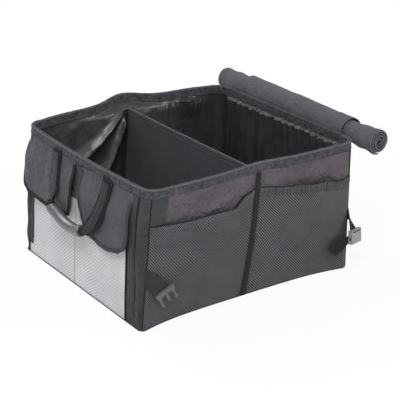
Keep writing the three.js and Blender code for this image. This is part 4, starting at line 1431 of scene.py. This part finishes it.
@dataclass
class EndPocket:
    """The pale net pocket of the left end, its piped sides and the two flaps over it."""

    stitching: Stitching
    near: float = -185.0
    far: float = 214.0
    height: float = 215.0
    slack: float = 7.0
    hem: float = 12.0
    flap_lift: float = 12.0
    flap_drop: float = 16.0
    flap_thickness: float = 1.0
    flap_top: float = 280.95

    def __post_init__(self) -> None:
        """Works out the spans along the wall."""
        wall = WALLS[Side.LEFT]
        self.wall = wall
        self.span = tuple(float(wall.place(y, self.height / 2)) for y in (self.near, self.far))
        self.far_span = (float(wall.place(12, self.height)), SEAM_EDGE)
        self.near_span = (float(wall.place(-206, self.height)), -0.095)
        self.offset = profile((self.height * 0.65, self.flap_drop), (self.height + 5, self.flap_lift),
                              (self.flap_top, 0))

    def _level(self, u: Array) -> Array:
        """The height of the net's level upper edge at each place."""
        return np.full_like(np.asarray(u, float), self.height)

    def _net_middle(self, u: Array, z: Array) -> Array:
        """The depth of the net's middle."""
        return self.depth(u, z) + LAYERS.net / 2

    def depth(self, u: Array, z: Array) -> Array:
        """The depth of the net's outer face, with the seam down its middle."""
        near = Pocket(self.wall, (self.span[0], 0.0), self._level, self.slack, 101)
        far = Pocket(self.wall, (0.0, self.span[1]), self._level, self.slack, 102)
        return np.where(u < 0, near.depth(np.minimum(u, 0), z), far.depth(np.maximum(u, 0), z))

    def build(self) -> None:
        """Builds and dresses the pocket and the flaps."""
        u = self.wall.lines(*self.span, step=0.012)
        u = np.sort(np.append(u[np.abs(u) > 0.004], 0.0))
        z = np.linspace(3, self.height, 60)
        made, outer = self.wall.sheet("end_net", u, z, self.depth, LAYERS.net)
        dress(made, Finish.LIGHT_NET, "light_mesh", BOX, "end_mesh_pocket")
        frames = top_frames(self.wall, u, self._level(u), self._net_middle, self.hem)
        strip = folded_strip(*frames, LAYERS.net / 2 + LAYERS.clear, self.hem, LAYERS.tape)
        dress(grid_body("end_net_hem", *strip), Finish.BINDING, "binding", BOX, "end_mesh_tape")
        heights = np.linspace(4, self.height - 2, 50)
        for side, at in (("near", self.span[0] - 0.004), ("far", self.span[1] + 0.004)):
            line = self.wall.point(at + 0.003 * np.sin(heights / 30), heights, -1.9)
            cord(f"end_net_piping_{side}", line, 1.5, Finish.BLACK_BINDING, "black_binding")
        foot = self.wall.point(u, 3.4, self.depth(u, np.full_like(u, 3.4)) - 0.9)
        cord("end_net_foot_piping", foot, 1.2, Finish.WELT, sides=6)
        self._flaps()

    def flap_depth(self, u: Array, z: Array, seed: int = 0) -> Array:
        """The depth of a flap's outer face. With a seed it has folds.

        Args:
            u: places along the wall.
            z: heights.
            seed: of the folds, or 0 for none.

        Returns:
            Depths in millimetres.
        """
        plain = -(LAYERS.clear + self.flap_thickness + self.offset(z))
        if not seed:
            return plain
        hang = ease((self.flap_top - z) / 60)
        run = u * END_HALF
        fold = Folds(seed, 1.1, 60, 3.0).at(run, z) + 0.35 * Folds(seed + 1, 1, 22).at(run, z)
        return plain - fold * hang

    def _flap_middle(self, seed: int, u: Array, z: Array) -> Array:
        """Points of the middle of a flap's thickness."""
        return self.wall.point(u, z, self.flap_depth(u, z, seed) + self.flap_thickness / 2)

    def _flaps(self) -> None:
        """The two flaps with their bound edges and seams."""
        far_low = profile(
            (self.far_span[0], 164), (0.16, 156), (0.36, 152), (0.58, 155), (0.83, 154), (0.94, 164),
            (self.far_span[1], 182),
        )
        near_low = profile(
            (self.near_span[0], 178), (-0.836, 162), (-0.736, 149), (-0.614, 143), (-0.509, 143),
            (-0.366, 148), (-0.275, 155), (-0.2, 172), (-0.14, 196), (self.near_span[1], 232),
        )
        parts = (
            ("far", self.far_span, far_low, self.far_span[1], -0.025, 111, Finish.BLACK_BINDING),
            ("near", self.near_span, near_low, self.near_span[0], 0.025, 121, Finish.FLAP_BINDING),
        )
        for side, span, low, outer_u, step, seed, binding in parts:
            u = self.wall.lines(*span, step=0.01)
            z = low(u)[:, None] + (self.flap_top - low(u)[:, None]) * np.linspace(0, 1, 40)[None, :]
            depth = partial(self.flap_depth, seed=seed)
            made, face = self.wall.sheet(f"flap_{side}_cloth", u, z, depth, self.flap_thickness)
            dress(made, Finish.FLAP, "flap", BOX, f"flap_{side}")
            self._binding(side, u, low, outer_u, step, seed, binding)

    def _binding(self, side: str, u: Array, low: Callable[[Array], Array], outer_u: float, step: float,
                 seed: int, finish: Finish) -> None:
        """The black tape along a flap's free edges.

        Args:
            side: near or far.
            u: the flap's places along the wall.
            low: its lower edge, from u to z.
            outer_u: the place of its outer edge.
            step: a small way from the outer edge into the flap.
            seed: of the flap's folds.
            finish: the tape's finish.
        """
        lower = u if outer_u == u[0] else u[::-1]
        climb = np.linspace(262, float(low(outer_u)) + 1.5, 24)
        inner_u = lower[-1]
        rise = np.linspace(float(low(inner_u)) + 1.5, 276, 18)
        path_u = np.concatenate([np.full_like(climb, outer_u), lower, np.full_like(rise, inner_u)])
        path_z = np.concatenate([climb, low(lower), rise])
        at = partial(self._flap_middle, seed)
        point = at(path_u, path_z)
        for _ in range(2):
            point[1:-1] = (point[:-2] + 2 * point[1:-1] + point[2:]) / 4
        inner_part = np.arange(len(path_u)) >= len(climb) + len(lower) - 1
        sideways = at(path_u + np.where(inner_part, -step * 0.4, step), path_z) - at(path_u, path_z)
        upwards = at(path_u, path_z + 9) - at(path_u, path_z)
        across = unit(np.cross(sideways, upwards))
        across[inner_part] *= -1
        along = np.gradient(point, axis=0)
        into = unit(np.cross(across, along))
        strip = folded_strip(point, into, across, self.flap_thickness / 2 + LAYERS.clear, 8.0, LAYERS.tape)
        dress(grid_body(f"flap_{side}_binding", *strip), finish, "black_binding", BOX,
              f"flap_tape_{side}")
        face = -1 if (across[:, 0] * self.wall.out).mean() < 0 else 1
        above = self.flap_thickness / 2 + LAYERS.clear + LAYERS.tape + 0.3
        line = point + into * 6.5 + across * face * above
        self.stitching.sew(f"flap_{side}_stitches", [line], Finish.BINDING, BOX, width=0.8)


@dataclass
class Divider:
    """The upright sheet between the compartments, with its hem and the tapes at its ends."""

    stitching: Stitching
    lining: Lining
    height: float = 282.0
    half: float = 1.85
    fabric: float = 1.0
    low: float = 6.4
    sag: float = 1.1
    tape: float = 1.1
    tape_places: tuple[float, float, float] = (0.0, -0.06, 0.06)

    def _x(self, z: Array) -> Array:
        """The sloping middle plane."""
        return mix(-6.0, 18.0, z / Wall.TOP)

    def _drawn_in(self, u: Array, z: Array) -> Array:
        """The depth of the back lining's inner side."""
        return self.lining.back_depth(u, z) + LAYERS.liner + LAYERS.clear

    def _sway(self, share: Array, y: Array, z: Array) -> Array:
        """How far the sheet leaves its middle plane, between its two ends."""
        return Folds(131, 0.45, 110, 1.3).at(y, z) * np.sin(math.pi * share)

    def _ends(self, z: Array) -> tuple[Array, Array]:
        """Where the divider's two ends lie at each height.

        Args:
            z: heights, in millimetres.

        Returns:
            The places of the near and the far end.
        """
        reach = 1.8
        at = np.minimum(z, self.lining.draw_high)
        front, back = WALLS[Side.FRONT], WALLS[Side.BACK]
        inside = LAYERS.wall_depth + LAYERS.clear + reach
        fronts = [front.point(u, at, inside)[..., 1] for u in self.tape_places]
        backs = [
            back.point(u, at, self._drawn_in(np.full_like(at, u), at) + reach)[..., 1]
            for u in self.tape_places
        ]
        return np.max(fronts, 0), np.min(backs, 0)

    def build(self) -> None:
        """Builds and dresses the divider."""
        heights = np.concatenate([np.linspace(self.low, 260, 40), np.linspace(263, self.height - 1, 10)])
        outside, inside = self.half + self.fabric, self.half
        faces = []
        share = np.linspace(0, 1, 110)[:, None]
        for offset, top in ((outside, self.height), (inside, self.height - self.fabric)):
            up = np.minimum(heights, top - 0.6)
            z = np.concatenate([up, [top, top, top], up[::-1]])[None, :]
            side = np.concatenate([-np.ones(len(up)), [-0.6, 0.0, 0.6], np.ones(len(up))])[None, :]
            near, far = self._ends(z)
            y = mix(near, far, share)
            sag = -self.sag * np.sin(math.pi * share) * ease((z - 120) / 160)
            soft = self._sway(share, y, z) * ease((z - 20) / 60)
            swell = Folds(132, 0.25, 40).at(y, z) * (offset == outside)
            x = self._x(z) + side * (offset + 0.3 * np.abs(swell)) + soft
            faces.append(np.stack(np.broadcast_arrays(x, y, z + sag), -1))
        made = grid_body("divider_cloth", *faces)
        dress(made, Finish.DIVIDER, "cover", BOX, "divider_cover")
        self._hem(share[:, 0])
        self._tapes()

    def _hem(self, share: Array) -> None:
        """The seams of the hem and the thin pale edge on top.

        Args:
            share: shares of the way from end to end.
        """
        lines = []
        for sign in (-1, 1):
            z = np.full_like(share, self.height - 11)
            y = mix(*self._ends(z), share)
            x = self._x(z) + sign * (self.half + self.fabric + 0.75) + self._sway(share, y, z)
            lines.append(np.stack([x, y, z - self.sag * np.sin(math.pi * share)], -1)[2:-2])
        self.stitching.sew("divider_stitches", lines, Finish.THREAD, BOX, slot="cover", width=0.9)
        z = np.full_like(share, self.height + 0.2)
        near, far = self._ends(z)
        y = mix(near + 2, far - 2, share)
        top = np.stack([self._x(z) + self._sway(share, y, z), y, z - self.sag * np.sin(math.pi * share)], -1)
        cord("divider_edge_welt", top, 1.5, Finish.WELT, "cover")

    def _tapes(self) -> None:
        """The tapes that the divider's ends stand against."""
        front, back = WALLS[Side.FRONT], WALLS[Side.BACK]
        u = np.linspace(-0.06, 0.06, 9)
        z = np.linspace(LAYERS.floor_top + LAYERS.clear, self.lining.draw_high, 50)
        plain, _ = front.sheet("divider_tape_front_cloth", u, z, LAYERS.wall_depth + LAYERS.clear, self.tape)
        dress(plain, Finish.BINDING, "binding", BOX, "divider_tape_front")
        made, _ = back.sheet("divider_tape_back_cloth", u, z, self._drawn_in, self.tape)
        dress(made, Finish.BLACK_BINDING, "binding", BOX, "divider_tape_back")


def spline(points: Array, samples: int) -> Array:
    """A smooth centripetal line through points, with some samples between each two.

    Args:
        points: the points.
        samples: to each step between two points.

    Returns:
        Points of the line.
    """
    first, last = 2 * points[0] - points[1], 2 * points[-1] - points[-2]
    p = np.concatenate([[first], points, [last]])
    made = []
    for n in range(1, len(p) - 2):
        knots = [0.0]
        for a, b in ((n - 1, n), (n, n + 1), (n + 1, n + 2)):
            knots.append(knots[-1] + max(1e-6, float(np.linalg.norm(p[b] - p[a]))) ** 0.5)
        t = np.linspace(knots[1], knots[2], samples, endpoint=False)[:, None]
        a1 = mix(p[n - 1], p[n], t / knots[1])
        a2 = mix(p[n], p[n + 1], (t - knots[1]) / (knots[2] - knots[1]))
        a3 = mix(p[n + 1], p[n + 2], (t - knots[2]) / (knots[3] - knots[2]))
        b1 = mix(a1, a2, t / knots[2])
        b2 = mix(a2, a3, (t - knots[1]) / (knots[3] - knots[1]))
        made.append(mix(b1, b2, (t - knots[1]) / (knots[2] - knots[1])))
    return np.concatenate([*made, points[-1:]])


@dataclass
class CarryHandle:
    """Webbing sewn to the rim, running through a moulded grip."""

    side: Side
    stitching: Stitching
    cover: Callable[[float], float]
    finish: Finish
    grip_radius: float = 12.2
    grip_bore: float = 8.0
    webbing: float = 1.8
    line: tuple[tuple[float, float], ...] = (
        (84, 288), (82, 262), (71, 222), (67, 194), (60, 175), (39, 166.5), (6, 157.5), (-30, 156),
        (-66, 162.5), (-88, 172), (-105, 198), (-117, 246), (-122, 288),
    )

    def _over(self, z: float) -> float:
        """How far out the webbing's outer face lies over what it hangs before."""
        return self.cover(z) + LAYERS.clear + self.webbing

    def build(self) -> None:
        """Builds and dresses the handle."""
        wall = WALLS[self.side]
        name = f"{self.side.value}_handle"
        over = self._over
        grip_away = max(self.cover(z) for _, z in self.line) + LAYERS.clear + self.grip_radius + 1
        (_, bend), (_, start) = self.line[3:5]
        away = profile(
            (start, grip_away), (bend, (grip_away + over(bend)) / 2),
            (222, over(222)), (262, over(262)), (288, 3.3),
        )
        places = [wall.point(wall.place(y, z), z, -away(z)) for y, z in self.line]
        samples = 14
        points = spline(np.array(places), samples)
        first, last = 4 * samples, 8 * samples
        self._webbing(wall, name, points, first, last)
        self._grip(name, points[first:last + 1])

    def _webbing(self, wall: Wall, name: str, points: Array, first: int, last: int) -> None:
        """The band, which narrows and thickens where it enters the grip, and its seams.

        Args:
            wall: the wall it hangs on.
            name: the handle's name, also its body.
            points: its middle line.
            first: the index at which it enters the grip.
            last: the index at which it leaves it.
        """
        index = np.arange(len(points))
        outside = np.maximum(np.maximum(first - index, index - last), 0)
        tight = ease(1 - (outside - 4) / 18)
        run = unit(np.gradient(points, axis=0))
        out = np.array([wall.out, 0.0, 0.0])
        across = unit(np.cross(run, out))
        normal = unit(np.cross(run, across))
        width = mix(36.0, 11.4, tight)
        thick = mix(self.webbing, 3.0, tight)
        shares = np.linspace(-0.5, 0.5, 11)
        curl = (1 - (2 * shares) ** 2) * 0.9
        faces = []
        for sign in (1, -1):
            pad = thick[:, None] / 2 * sign * (1 - 0.25 * (np.abs(shares) > 0.45))
            bend = curl[None, :] * (1 - tight)[:, None] * 1.3
            faces.append(points[:, None] + across[:, None] * (shares[None, :] * width[:, None])[..., None]
                         + normal[:, None] * (pad + np.sign(normal[:, :1] * out[0]) * bend)[..., None])
        made = grid_body(f"{name}_band", *faces)
        dress(made, self.finish, "webbing", name, f"{name}_webbing")
        lines = []
        face = np.sign(normal[:, :1] * wall.out)
        for side in (-0.4, 0.4):
            edge = points + across * (side * width)[:, None] + normal * face * (thick / 2 + 0.6)[:, None]
            lines += [edge[2:first - 6], edge[last + 6:-2]]
        self.stitching.sew(f"{name}_stitches", lines, Finish.BINDING, name, slot="webbing", width=0.9)
        middle = points + normal * face * (thick / 2 + 1.3)[:, None]
        legs = (
            ("far", slice(3, first - 4), Finish.DARK_SHELL),
            ("near", slice(last + 5, -3), Finish.GREY_WEBBING),
        )
        for leg, part, finish in legs:
            self._sleeve(f"{name}_sleeve_{leg}", name, middle[part], across[part], (normal * face)[part],
                         width[part] * 0.62, finish)

    def _sleeve(self, piece: str, body: str, middle: Array, across: Array, out: Array, width: Array,
                finish: Finish) -> None:
        """The cloth sleeve over a leg of the webbing, which leaves the webbing's dark edges bare.

        Args:
            piece: the piece's name.
            body: the body it rides on.
            middle: its middle line.
            across: directions across the leg.
            out: directions away from the leg.
            width: at each point.
            finish: its finish.
        """
        shares = np.linspace(-0.5, 0.5, 11)
        crown = 1.6 * (1 - (2 * shares) ** 2)[None, :] + 0.5 * np.sin(np.arange(len(middle)) / 3.1)[:, None]
        faces = [
            middle[:, None] + across[:, None] * (shares[None, :] * width[:, None])[..., None]
            + out[:, None] * (crown + extra)[..., None]
            for extra in (0.9, 0.0)
        ]
        dress(grid_body(piece, *faces), finish, "flap", body)

    def _grip(self, name: str, line: Array) -> None:
        """The tube with rolled ends, and the black loops that hold it.

        Args:
            name: the handle's name, also its body.
            line: the middle of the tube.
        """
        share = np.linspace(0, 1, len(line))
        end = np.minimum(share, 1 - share)
        lip = 0.9 * hump(end - 0.035, 0.02) - 1.8 * hump(end, 0.012)
        run = unit(np.gradient(line, axis=0))
        across = unit(np.cross(run, np.array([1.0, 0.2, 0.0])))
        rise = np.cross(across, run)
        angle = np.linspace(0, 2 * math.pi, 33)[:-1][None, :, None]
        about = across[:, None] * np.cos(angle) + rise[:, None] * np.sin(angle)
        sizes = self.grip_radius + lip, np.full_like(lip, self.grip_bore)
        rows = [line[:, None] + about * size[:, None, None] for size in sizes]
        outer, inner = (np.swapaxes(face, 0, 1) for face in rows)
        tube = grid_body(f"{name}_grip_tube", outer, inner, loop=True)
        dress(tube, Finish.GRIP, "grip", name, f"{name}_grip")
        for end, part in (("far", line[:3][::-1]), ("near", line[-3:])):
            step = unit(part[-1] - part[-2])
            loop = np.array([part[-1] + step * d for d in (0.4, 2.0, 5.0, 9.0, 13.0)])
            loop[3:, 2] += (0.6, 1.8)
            radii = np.array([9.6, 10.4, 9.8, 8.2, 6.4])
            cord(f"{name}_loop_{end}", loop, radii, Finish.BLACK_BINDING, "black_binding", name, sides=14)


@dataclass
class CornerStrap:
    """A strap sewn into a corner seam, with its half of the buckle."""

    side: Side
    corner: int
    plug: bool
    finish: Finish
    stitching: Stitching
    half_thickness: float = 0.8
    plug_root: tuple[float, float] = (135, 101)
    plug_rows: tuple = (
        ((24, 126, 9), (11, 92, 8)), ((44, 106, 13), (18, 82, 12)), ((60, 90, 13), (27, 74, 12)),
    )
    socket_root: tuple[float, float] = (151, 118)
    socket_rows: tuple = (
        ((16, 124, 13), (1, 110, 9)), ((19, 92, 20), (-10, 88, 9)),
        ((48, 76, 12), (26, 52, 10)), ((68, 62, 8), (43, 41, 7)),
    )

    def _before(self, place: tuple[float, float, float]) -> Array:
        """A point before the wall, at a distance from its corner.

        Args:
            place: the distance from the corner, the height and the distance before the wall.

        Returns:
            The point.
        """
        wall = WALLS[self.side]
        distance, z, away = place
        v = z / Wall.TOP
        edge = mix(0, wall.middle, v) + self.corner * mix(*wall.half, v)
        return np.array([edge - self.corner * distance, wall.out * (mix(*wall.face, v) + away), z])

    def build(self) -> None:
        """Builds and dresses the strap, its seams and its buckle half."""
        wall = WALLS[self.side]
        root, rows = (self.plug_root, self.plug_rows) if self.plug else (self.socket_root, self.socket_rows)
        over = 2.2 if self.plug and self.side is Side.FRONT else 0.0
        sewn = [wall.point(self.corner, z, -(over + LAYERS.clear + self.half_thickness)) for z in root]
        crossings = [sewn, *([self._before(p) for p in row] for row in rows)]
        a, b = (spline(np.array([crossing[n] for crossing in crossings]), 10) for n in (0, 1))
        shares = np.linspace(0, 1, 9)[None, :, None]
        middle = a[:, None] + (b - a)[:, None] * shares
        run = np.gradient((a + b) / 2, axis=0)
        out = unit(np.cross(b - a, run))
        out *= np.sign(out[:, 1:2] * wall.out)
        for _ in range(3):
            out[1:-1] = unit(out[:-2] + out[1:-1] + out[2:])
        rim = 1 - 0.3 * (np.abs(shares - 0.5) > 0.45)
        outer, inner = (middle + out[:, None] * way * self.half_thickness * rim for way in (1, -1))
        place = f"{self.side.value}_{'left' if self.corner < 0 else 'right'}"
        made = grid_body(f"strap_{place}_band", outer, inner)
        dress(made, self.finish, "webbing", BOX, f"strap_{place}")
        lines = [mix(a, b, share)[2:-1] + out[2:-1] * 1.2 for share in (0.1, 0.9)]
        self.stitching.sew(f"strap_{place}_stitches", lines, Finish.BINDING, BOX, slot="webbing")
        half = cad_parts[f"buckle_{'plug' if self.plug else 'socket'}_{place}"]
        half.data.materials.clear()
        half.data.materials.append((Finish.BUCKLE if self.plug else Finish.PALE_BUCKLE).material())
        soften = half.modifiers.new("soft_edges", "BEVEL")
        soften.width, soften.segments, soften.limit_method = 0.0008, 2, "ANGLE"
        LOG.info("buckle half at %s dressed", place)


@dataclass
class RolledCover:
    """The cover wound into a roll along the right rim, with its keeper, stretch band and hinge strip."""

    stitching: Stitching
    radius: float = 28.0
    core: float = 6.0
    turns: int = 4
    turn_steps: int = 44
    gap: float = 2.2
    far: tuple[float, float, float] = (311, 272, 301)
    near: tuple[float, float, float] = (304, -288, 299)
    keeper_far: float = 168.0
    keeper_near: float = -196.0
    keeper: float = 1.3
    band: float = 46.0

    size = staticmethod(profile((0, 1.02), (0.14, 1), (0.5, 0.95), (0.86, 0.88), (1, 1)))

    def _about(self, share: Array, angle: Array, radius: Array, shift: Array | float = 0.0) -> Array:
        """Points round the roll's axis.

        Args:
            share: shares of the way from the far end to the near one.
            angle: in radians, from level.
            radius: in millimetres.
            shift: along the roll, in millimetres.

        Returns:
            Points in millimetres.
        """
        x, y, z = (mix(a, b, share) for a, b in zip(self.far, self.near))
        parts = (x + radius * np.cos(angle), y + shift, z + radius * np.sin(angle))
        return np.stack(np.broadcast_arrays(*parts), -1)

    def _lumps(self, share: Array, angle: Array) -> Array:
        """Soft lumps of the wound cloth."""
        around = 28 * np.cos(angle), 28 * np.sin(angle)
        bare = 1 + 2.6 * (ease((0.175 - share) / 0.05) + ease((share - 0.85) / 0.04))
        soft = Folds(141, 0.5, 55).at(share * 560, around[0])
        return (soft + Folds(142, 0.3, 30).at(share * 560, around[1])) * bare

    def build(self) -> None:
        """Builds and dresses the cover."""
        self._roll()
        self._keeper()
        self._hinge()

    def _roll(self) -> None:
        """The wound sheet, whose turns end unevenly."""
        steps = self.turns * self.turn_steps
        t = np.linspace(0, 1, steps + 1)[:, None]
        runs = ((0, 0.02, 5), (0.03, 0.97, 64), (0.98, 1, 5))
        share = np.concatenate([np.linspace(*run) for run in runs])[None, :]
        angle = -math.pi / 2 + 2 * math.pi * self.turns * t
        pitch = (self.radius - self.core) / self.turns
        lumps = self._lumps(share, angle) * ease(t * 3)
        uneven = np.random.default_rng(8).uniform(-1, 1, 9)
        ends = np.interp(t[:, 0], np.linspace(0, 1, 9), uneven)[:, None]
        shift = 2.6 * ends * (ease((0.06 - share) / 0.06) - ease((share - 0.94) / 0.06))
        flare = 1 - 0.1 * ease((0.014 - share) / 0.014) - 0.06 * ease((share - 0.99) / 0.01)
        base = self.core + (self.radius - self.core) * t
        size = self.size(share) * flare
        sheet = pitch - self.gap
        outer, inner = (
            self._about(share, angle, (base - less + lumps * 0.6) * size, shift) for less in (0.0, sheet)
        )
        made = grid_body("cover_wound", outer, inner)
        dress(made, Finish.COVER, "cover", BOX, "cover_roll")
        for name, at in (("far", 0.012), ("near", 0.985)):
            tail = angle[-self.turn_steps:, 0]
            radius = (self.radius + 0.7) * self.size(at)
            line = self._about(np.full_like(tail, at), tail, radius + 0 * tail)
            self.stitching.sew(f"cover_hem_stitches_{name}", [line], Finish.THREAD, BOX, slot="cover")

    def _wrap(self, name: str, far: float, near: float, lift: float, thickness: float, finish: Finish,
              node: str, columns: int) -> Array:
        """A sheet wrapped round the roll, open below.

        Args:
            name: the piece's name.
            far: the place of its far edge.
            near: the place of its near edge.
            lift: how far it lies off the roll.
            thickness: of the sheet.
            finish: its finish.
            node: the solid it stands for.
            columns: of points along the roll.

        Returns:
            Points of its outer face.
        """
        span = self.far[1] - self.near[1]
        share = np.linspace((self.far[1] - far) / span, (self.far[1] - near) / span, columns)[None, :]
        angle = np.linspace(math.radians(-60), math.radians(205), 60)[:, None]
        skew = 0.006 * np.sin(angle * 1.3) * (share - share.mean())
        soft = np.maximum(0, Folds(151, 0.5, 60).at(share * 560, angle * 28) + 0.3)
        edge = np.minimum(share - share.min(), share.max() - share)
        roll = 0.5 * hump(edge, 0.006)
        radius = self.radius * self.size(share) + lift + (soft + roll) * (columns > 20)
        outer, inner = (self._about(share + skew, angle, radius + more) for more in (thickness, 0.0))
        dress(grid_body(name, outer, inner), finish, "cover", BOX, node)
        return outer

    def _keeper(self) -> None:
        """The keeper, its seams and the stretch band at its near edge."""
        outer = self._wrap(
            "keeper_wrap", self.keeper_far, self.keeper_near, 0.7, self.keeper, Finish.COVER,
            "cover_keeper", 60,
        )
        band = self._wrap(
            "keeper_stretch_band", self.keeper_near + self.band, self.keeper_near, 2.35, 0.8, Finish.COVER,
            "keeper_band", 12,
        )
        centre = np.array([mix(a, b, 0.5) for a, b in zip(self.far, self.near)])
        lines = []
        for face, columns in ((outer, (2,)), (band, (1, 10))):
            for column in columns:
                line = face[:, column]
                away = line - centre
                away[:, 1] = 0
                lines.append(line + unit(away) * 0.35)
        self.stitching.sew("keeper_stitches", lines, Finish.THREAD, BOX, slot="cover", width=0.8)

    def _hinge(self) -> None:
        """The strip that ties the cover to the rim."""
        wall = WALLS[Side.RIGHT]
        y = np.linspace(204, -205, 100)
        u = wall.place(y, Wall.TOP)
        inner_x = wall.point(u, Wall.TOP, LAYERS.wall_depth + 1.7)[:, 0]
        outer_x = wall.point(u, Wall.TOP, -1.7)[:, 0]
        share = (self.far[1] - y) / (self.far[1] - self.near[1])
        seat_radius = self.radius * self.size(share) + 3.5
        angle = math.radians(192)
        soft = Folds(161, 0.35, 40).at(y, 0 * y)
        faces = []
        for extra in (1.0, 0.0):
            seat = self._about(share, np.full_like(y, angle), seat_radius + 1.0 - extra)
            top = 300.35 + extra
            rows = [
                (inner_x - extra - 0.8 * np.abs(soft), 286 + soft * 2),
                (inner_x - extra - 0.4 * np.abs(soft), np.full_like(y, 293.0)),
                (inner_x - extra, np.full_like(y, top - 1.2)),
                (inner_x + 1.2 - extra * 0.4, np.full_like(y, top) + 0.2 * np.abs(soft)),
                (outer_x - 0.4, np.full_like(y, top) + 0.2 * np.abs(soft)),
                ((outer_x + seat[:, 0]) / 2, (top + seat[:, 2]) / 2 + 0.6),
                (seat[:, 0], seat[:, 2]),
            ]
            faces.append(np.stack([np.stack([x, y, z], -1) for x, z in rows], 1))
        made = grid_body("cover_hinge_cloth", *faces)
        dress(made, Finish.DARK_SHELL, "binding", BOX, "cover_hinge_strip")
        line = faces[0][:, 1] - np.array([0.4, 0, 0])
        self.stitching.sew("cover_hinge_stitches", [line], Finish.THREAD, BOX)


@dataclass
class Studio:
    """The camera at the photograph's place, plain soft light and a white floor."""

    target: tuple[float, float, float] = (0.0092, -0.0057, 0.15)
    azimuth: float = -34.3481
    elevation: float = 22.127
    distance: float = 2.7355
    focal_pixels: float = 1240.8
    centre: tuple[float, float] = (188.65, 195.70)
    frame_pixels: float = 400.0
    ambient: float = 0.43
    floor_half: float = 14.0

    def build(self) -> None:
        """Sets up the scene."""
        self._camera()
        self._light("key_light", (-1.6, -1.9, 2.9), 1.3, 72)
        self._light("side_light", (2.3, -2.2, 1.9), 0.9, 34)
        self._light("back_light", (-0.6, 2.4, 2.6), 1.8, 44)
        self._world()
        self._floor()
        bpy.context.scene.view_settings.view_transform = "Standard"

    def _camera(self) -> None:
        """The camera, with the photograph's framing as a small shift."""
        data = bpy.data.cameras.new("camera")
        data.sensor_width = 36.0
        data.lens = self.focal_pixels * data.sensor_width / self.frame_pixels
        data.shift_x = (self.frame_pixels / 2 - self.centre[0]) / self.frame_pixels
        data.shift_y = (self.centre[1] - self.frame_pixels / 2) / self.frame_pixels
        made = placed("camera", data)
        a, e = math.radians(self.azimuth), math.radians(self.elevation)
        back = Vector((math.sin(a) * math.cos(e), -math.cos(a) * math.cos(e), math.sin(e)))
        made.location = Vector(self.target) + back * self.distance
        made.rotation_mode = "QUATERNION"
        made.rotation_quaternion = (-back).to_track_quat("-Z", "Y")
        bpy.context.scene.camera = made

    def _light(self, name: str, place: tuple[float, float, float], size: float, power: float) -> None:
        """A soft square light that faces the box.

        Args:
            name: the lamp's name.
            place: in metres.
            size: of its side, in metres.
            power: in watts.
        """
        data = bpy.data.lights.new(name, "AREA")
        data.shape, data.size, data.energy = "SQUARE", size, power
        made = placed(name, data)
        made.location = place
        aim = Vector((0, 0, 0.15)) - Vector(place)
        made.rotation_mode = "QUATERNION"
        made.rotation_quaternion = aim.to_track_quat("-Z", "Y")

    def _world(self) -> None:
        """A white surround that lights the box softly."""
        world = bpy.data.worlds.new("surround")
        bpy.context.scene.world = world
        world.use_nodes = True
        tree = world.node_tree
        tree.nodes.clear()
        rays = add_node(tree, "ShaderNodeLightPath").outputs
        kinds = {0: rays["Is Camera Ray"], 1: rays["Is Transmission Ray"]}
        seen = add_node(tree, "ShaderNodeMath", kinds, operation="MAXIMUM")
        strength = add_node(tree, "ShaderNodeMapRange", {0: seen.outputs[0], 3: self.ambient, 4: 1.0})
        shine = add_node(tree, "ShaderNodeBackground", {0: (1, 1, 1, 1), 1: strength.outputs[0]})
        add_node(tree, "ShaderNodeOutputWorld", {0: shine.outputs[0]})

    def _floor(self) -> None:
        """The pale floor, whose shade falls off to plain white away from the box."""
        mesh = bpy.data.meshes.new("floor")
        ways = ((-1, -1), (1, -1), (1, 1), (-1, 1))
        mesh.from_pydata([(self.floor_half * x, self.floor_half * y, 0) for x, y in ways], [], [(0, 1, 2, 3)])
        mesh.uv_layers.new(name="cloth")
        made = placed("floor", mesh)
        g = Graph("pale_floor")
        path = g.node("ShaderNodeLightPath")
        seen = Value(g, path.outputs["Is Camera Ray"])
        place = g.node("ShaderNodeTexCoord").outputs["Object"]
        distance = g.node("ShaderNodeVectorMath", {0: place}, operation="LENGTH").outputs["Value"]
        far = Value(g, distance).step(0.5, 1.3)
        matt = g.node("ShaderNodeBsdfPrincipled", {"Base Color": (0.86, 0.86, 0.86, 1), "Roughness": 0.9})
        white = g.node("ShaderNodeEmission", {0: (1, 1, 1, 1), 1: 1.0})
        near = g.node("ShaderNodeMixShader", {0: seen * 0.9, 1: matt.outputs[0], 2: white.outputs[0]})
        shown = g.node("ShaderNodeMixShader", {0: seen * far, 1: near.outputs[0], 2: white.outputs[0]})
        g.node("ShaderNodeOutputMaterial", {0: shown.outputs[0]})
        mesh.materials.append(g.material)


def main() -> None:
    """Builds the organizer and its studio."""
    logging.basicConfig(level=logging.INFO, format="%(name)s %(message)s")
    Studio().build()
    stitching = Stitching()
    WallPanels().build()
    lining = Lining()
    lining.build()
    Rim(stitching).build()
    Divider(stitching, lining).build()
    FrontPockets(stitching).build()
    end = EndPocket(stitching)
    end.build()
    CarryHandle(Side.LEFT, stitching, lambda z: 1.85 - float(end.flap_depth(0.0, z)), Finish.WEBBING).build()
    CarryHandle(Side.RIGHT, stitching, lambda z: 0.0, Finish.WEBBING).build()
    for side, corner in ((Side.FRONT, -1), (Side.FRONT, 1), (Side.BACK, -1), (Side.BACK, 1)):
        CornerStrap(side, corner, corner < 0, Finish.GREY_WEBBING if corner < 0 else Finish.WEBBING,
                    stitching).build()
    RolledCover(stitching).build()


if __name__ == "__main__":
    main()
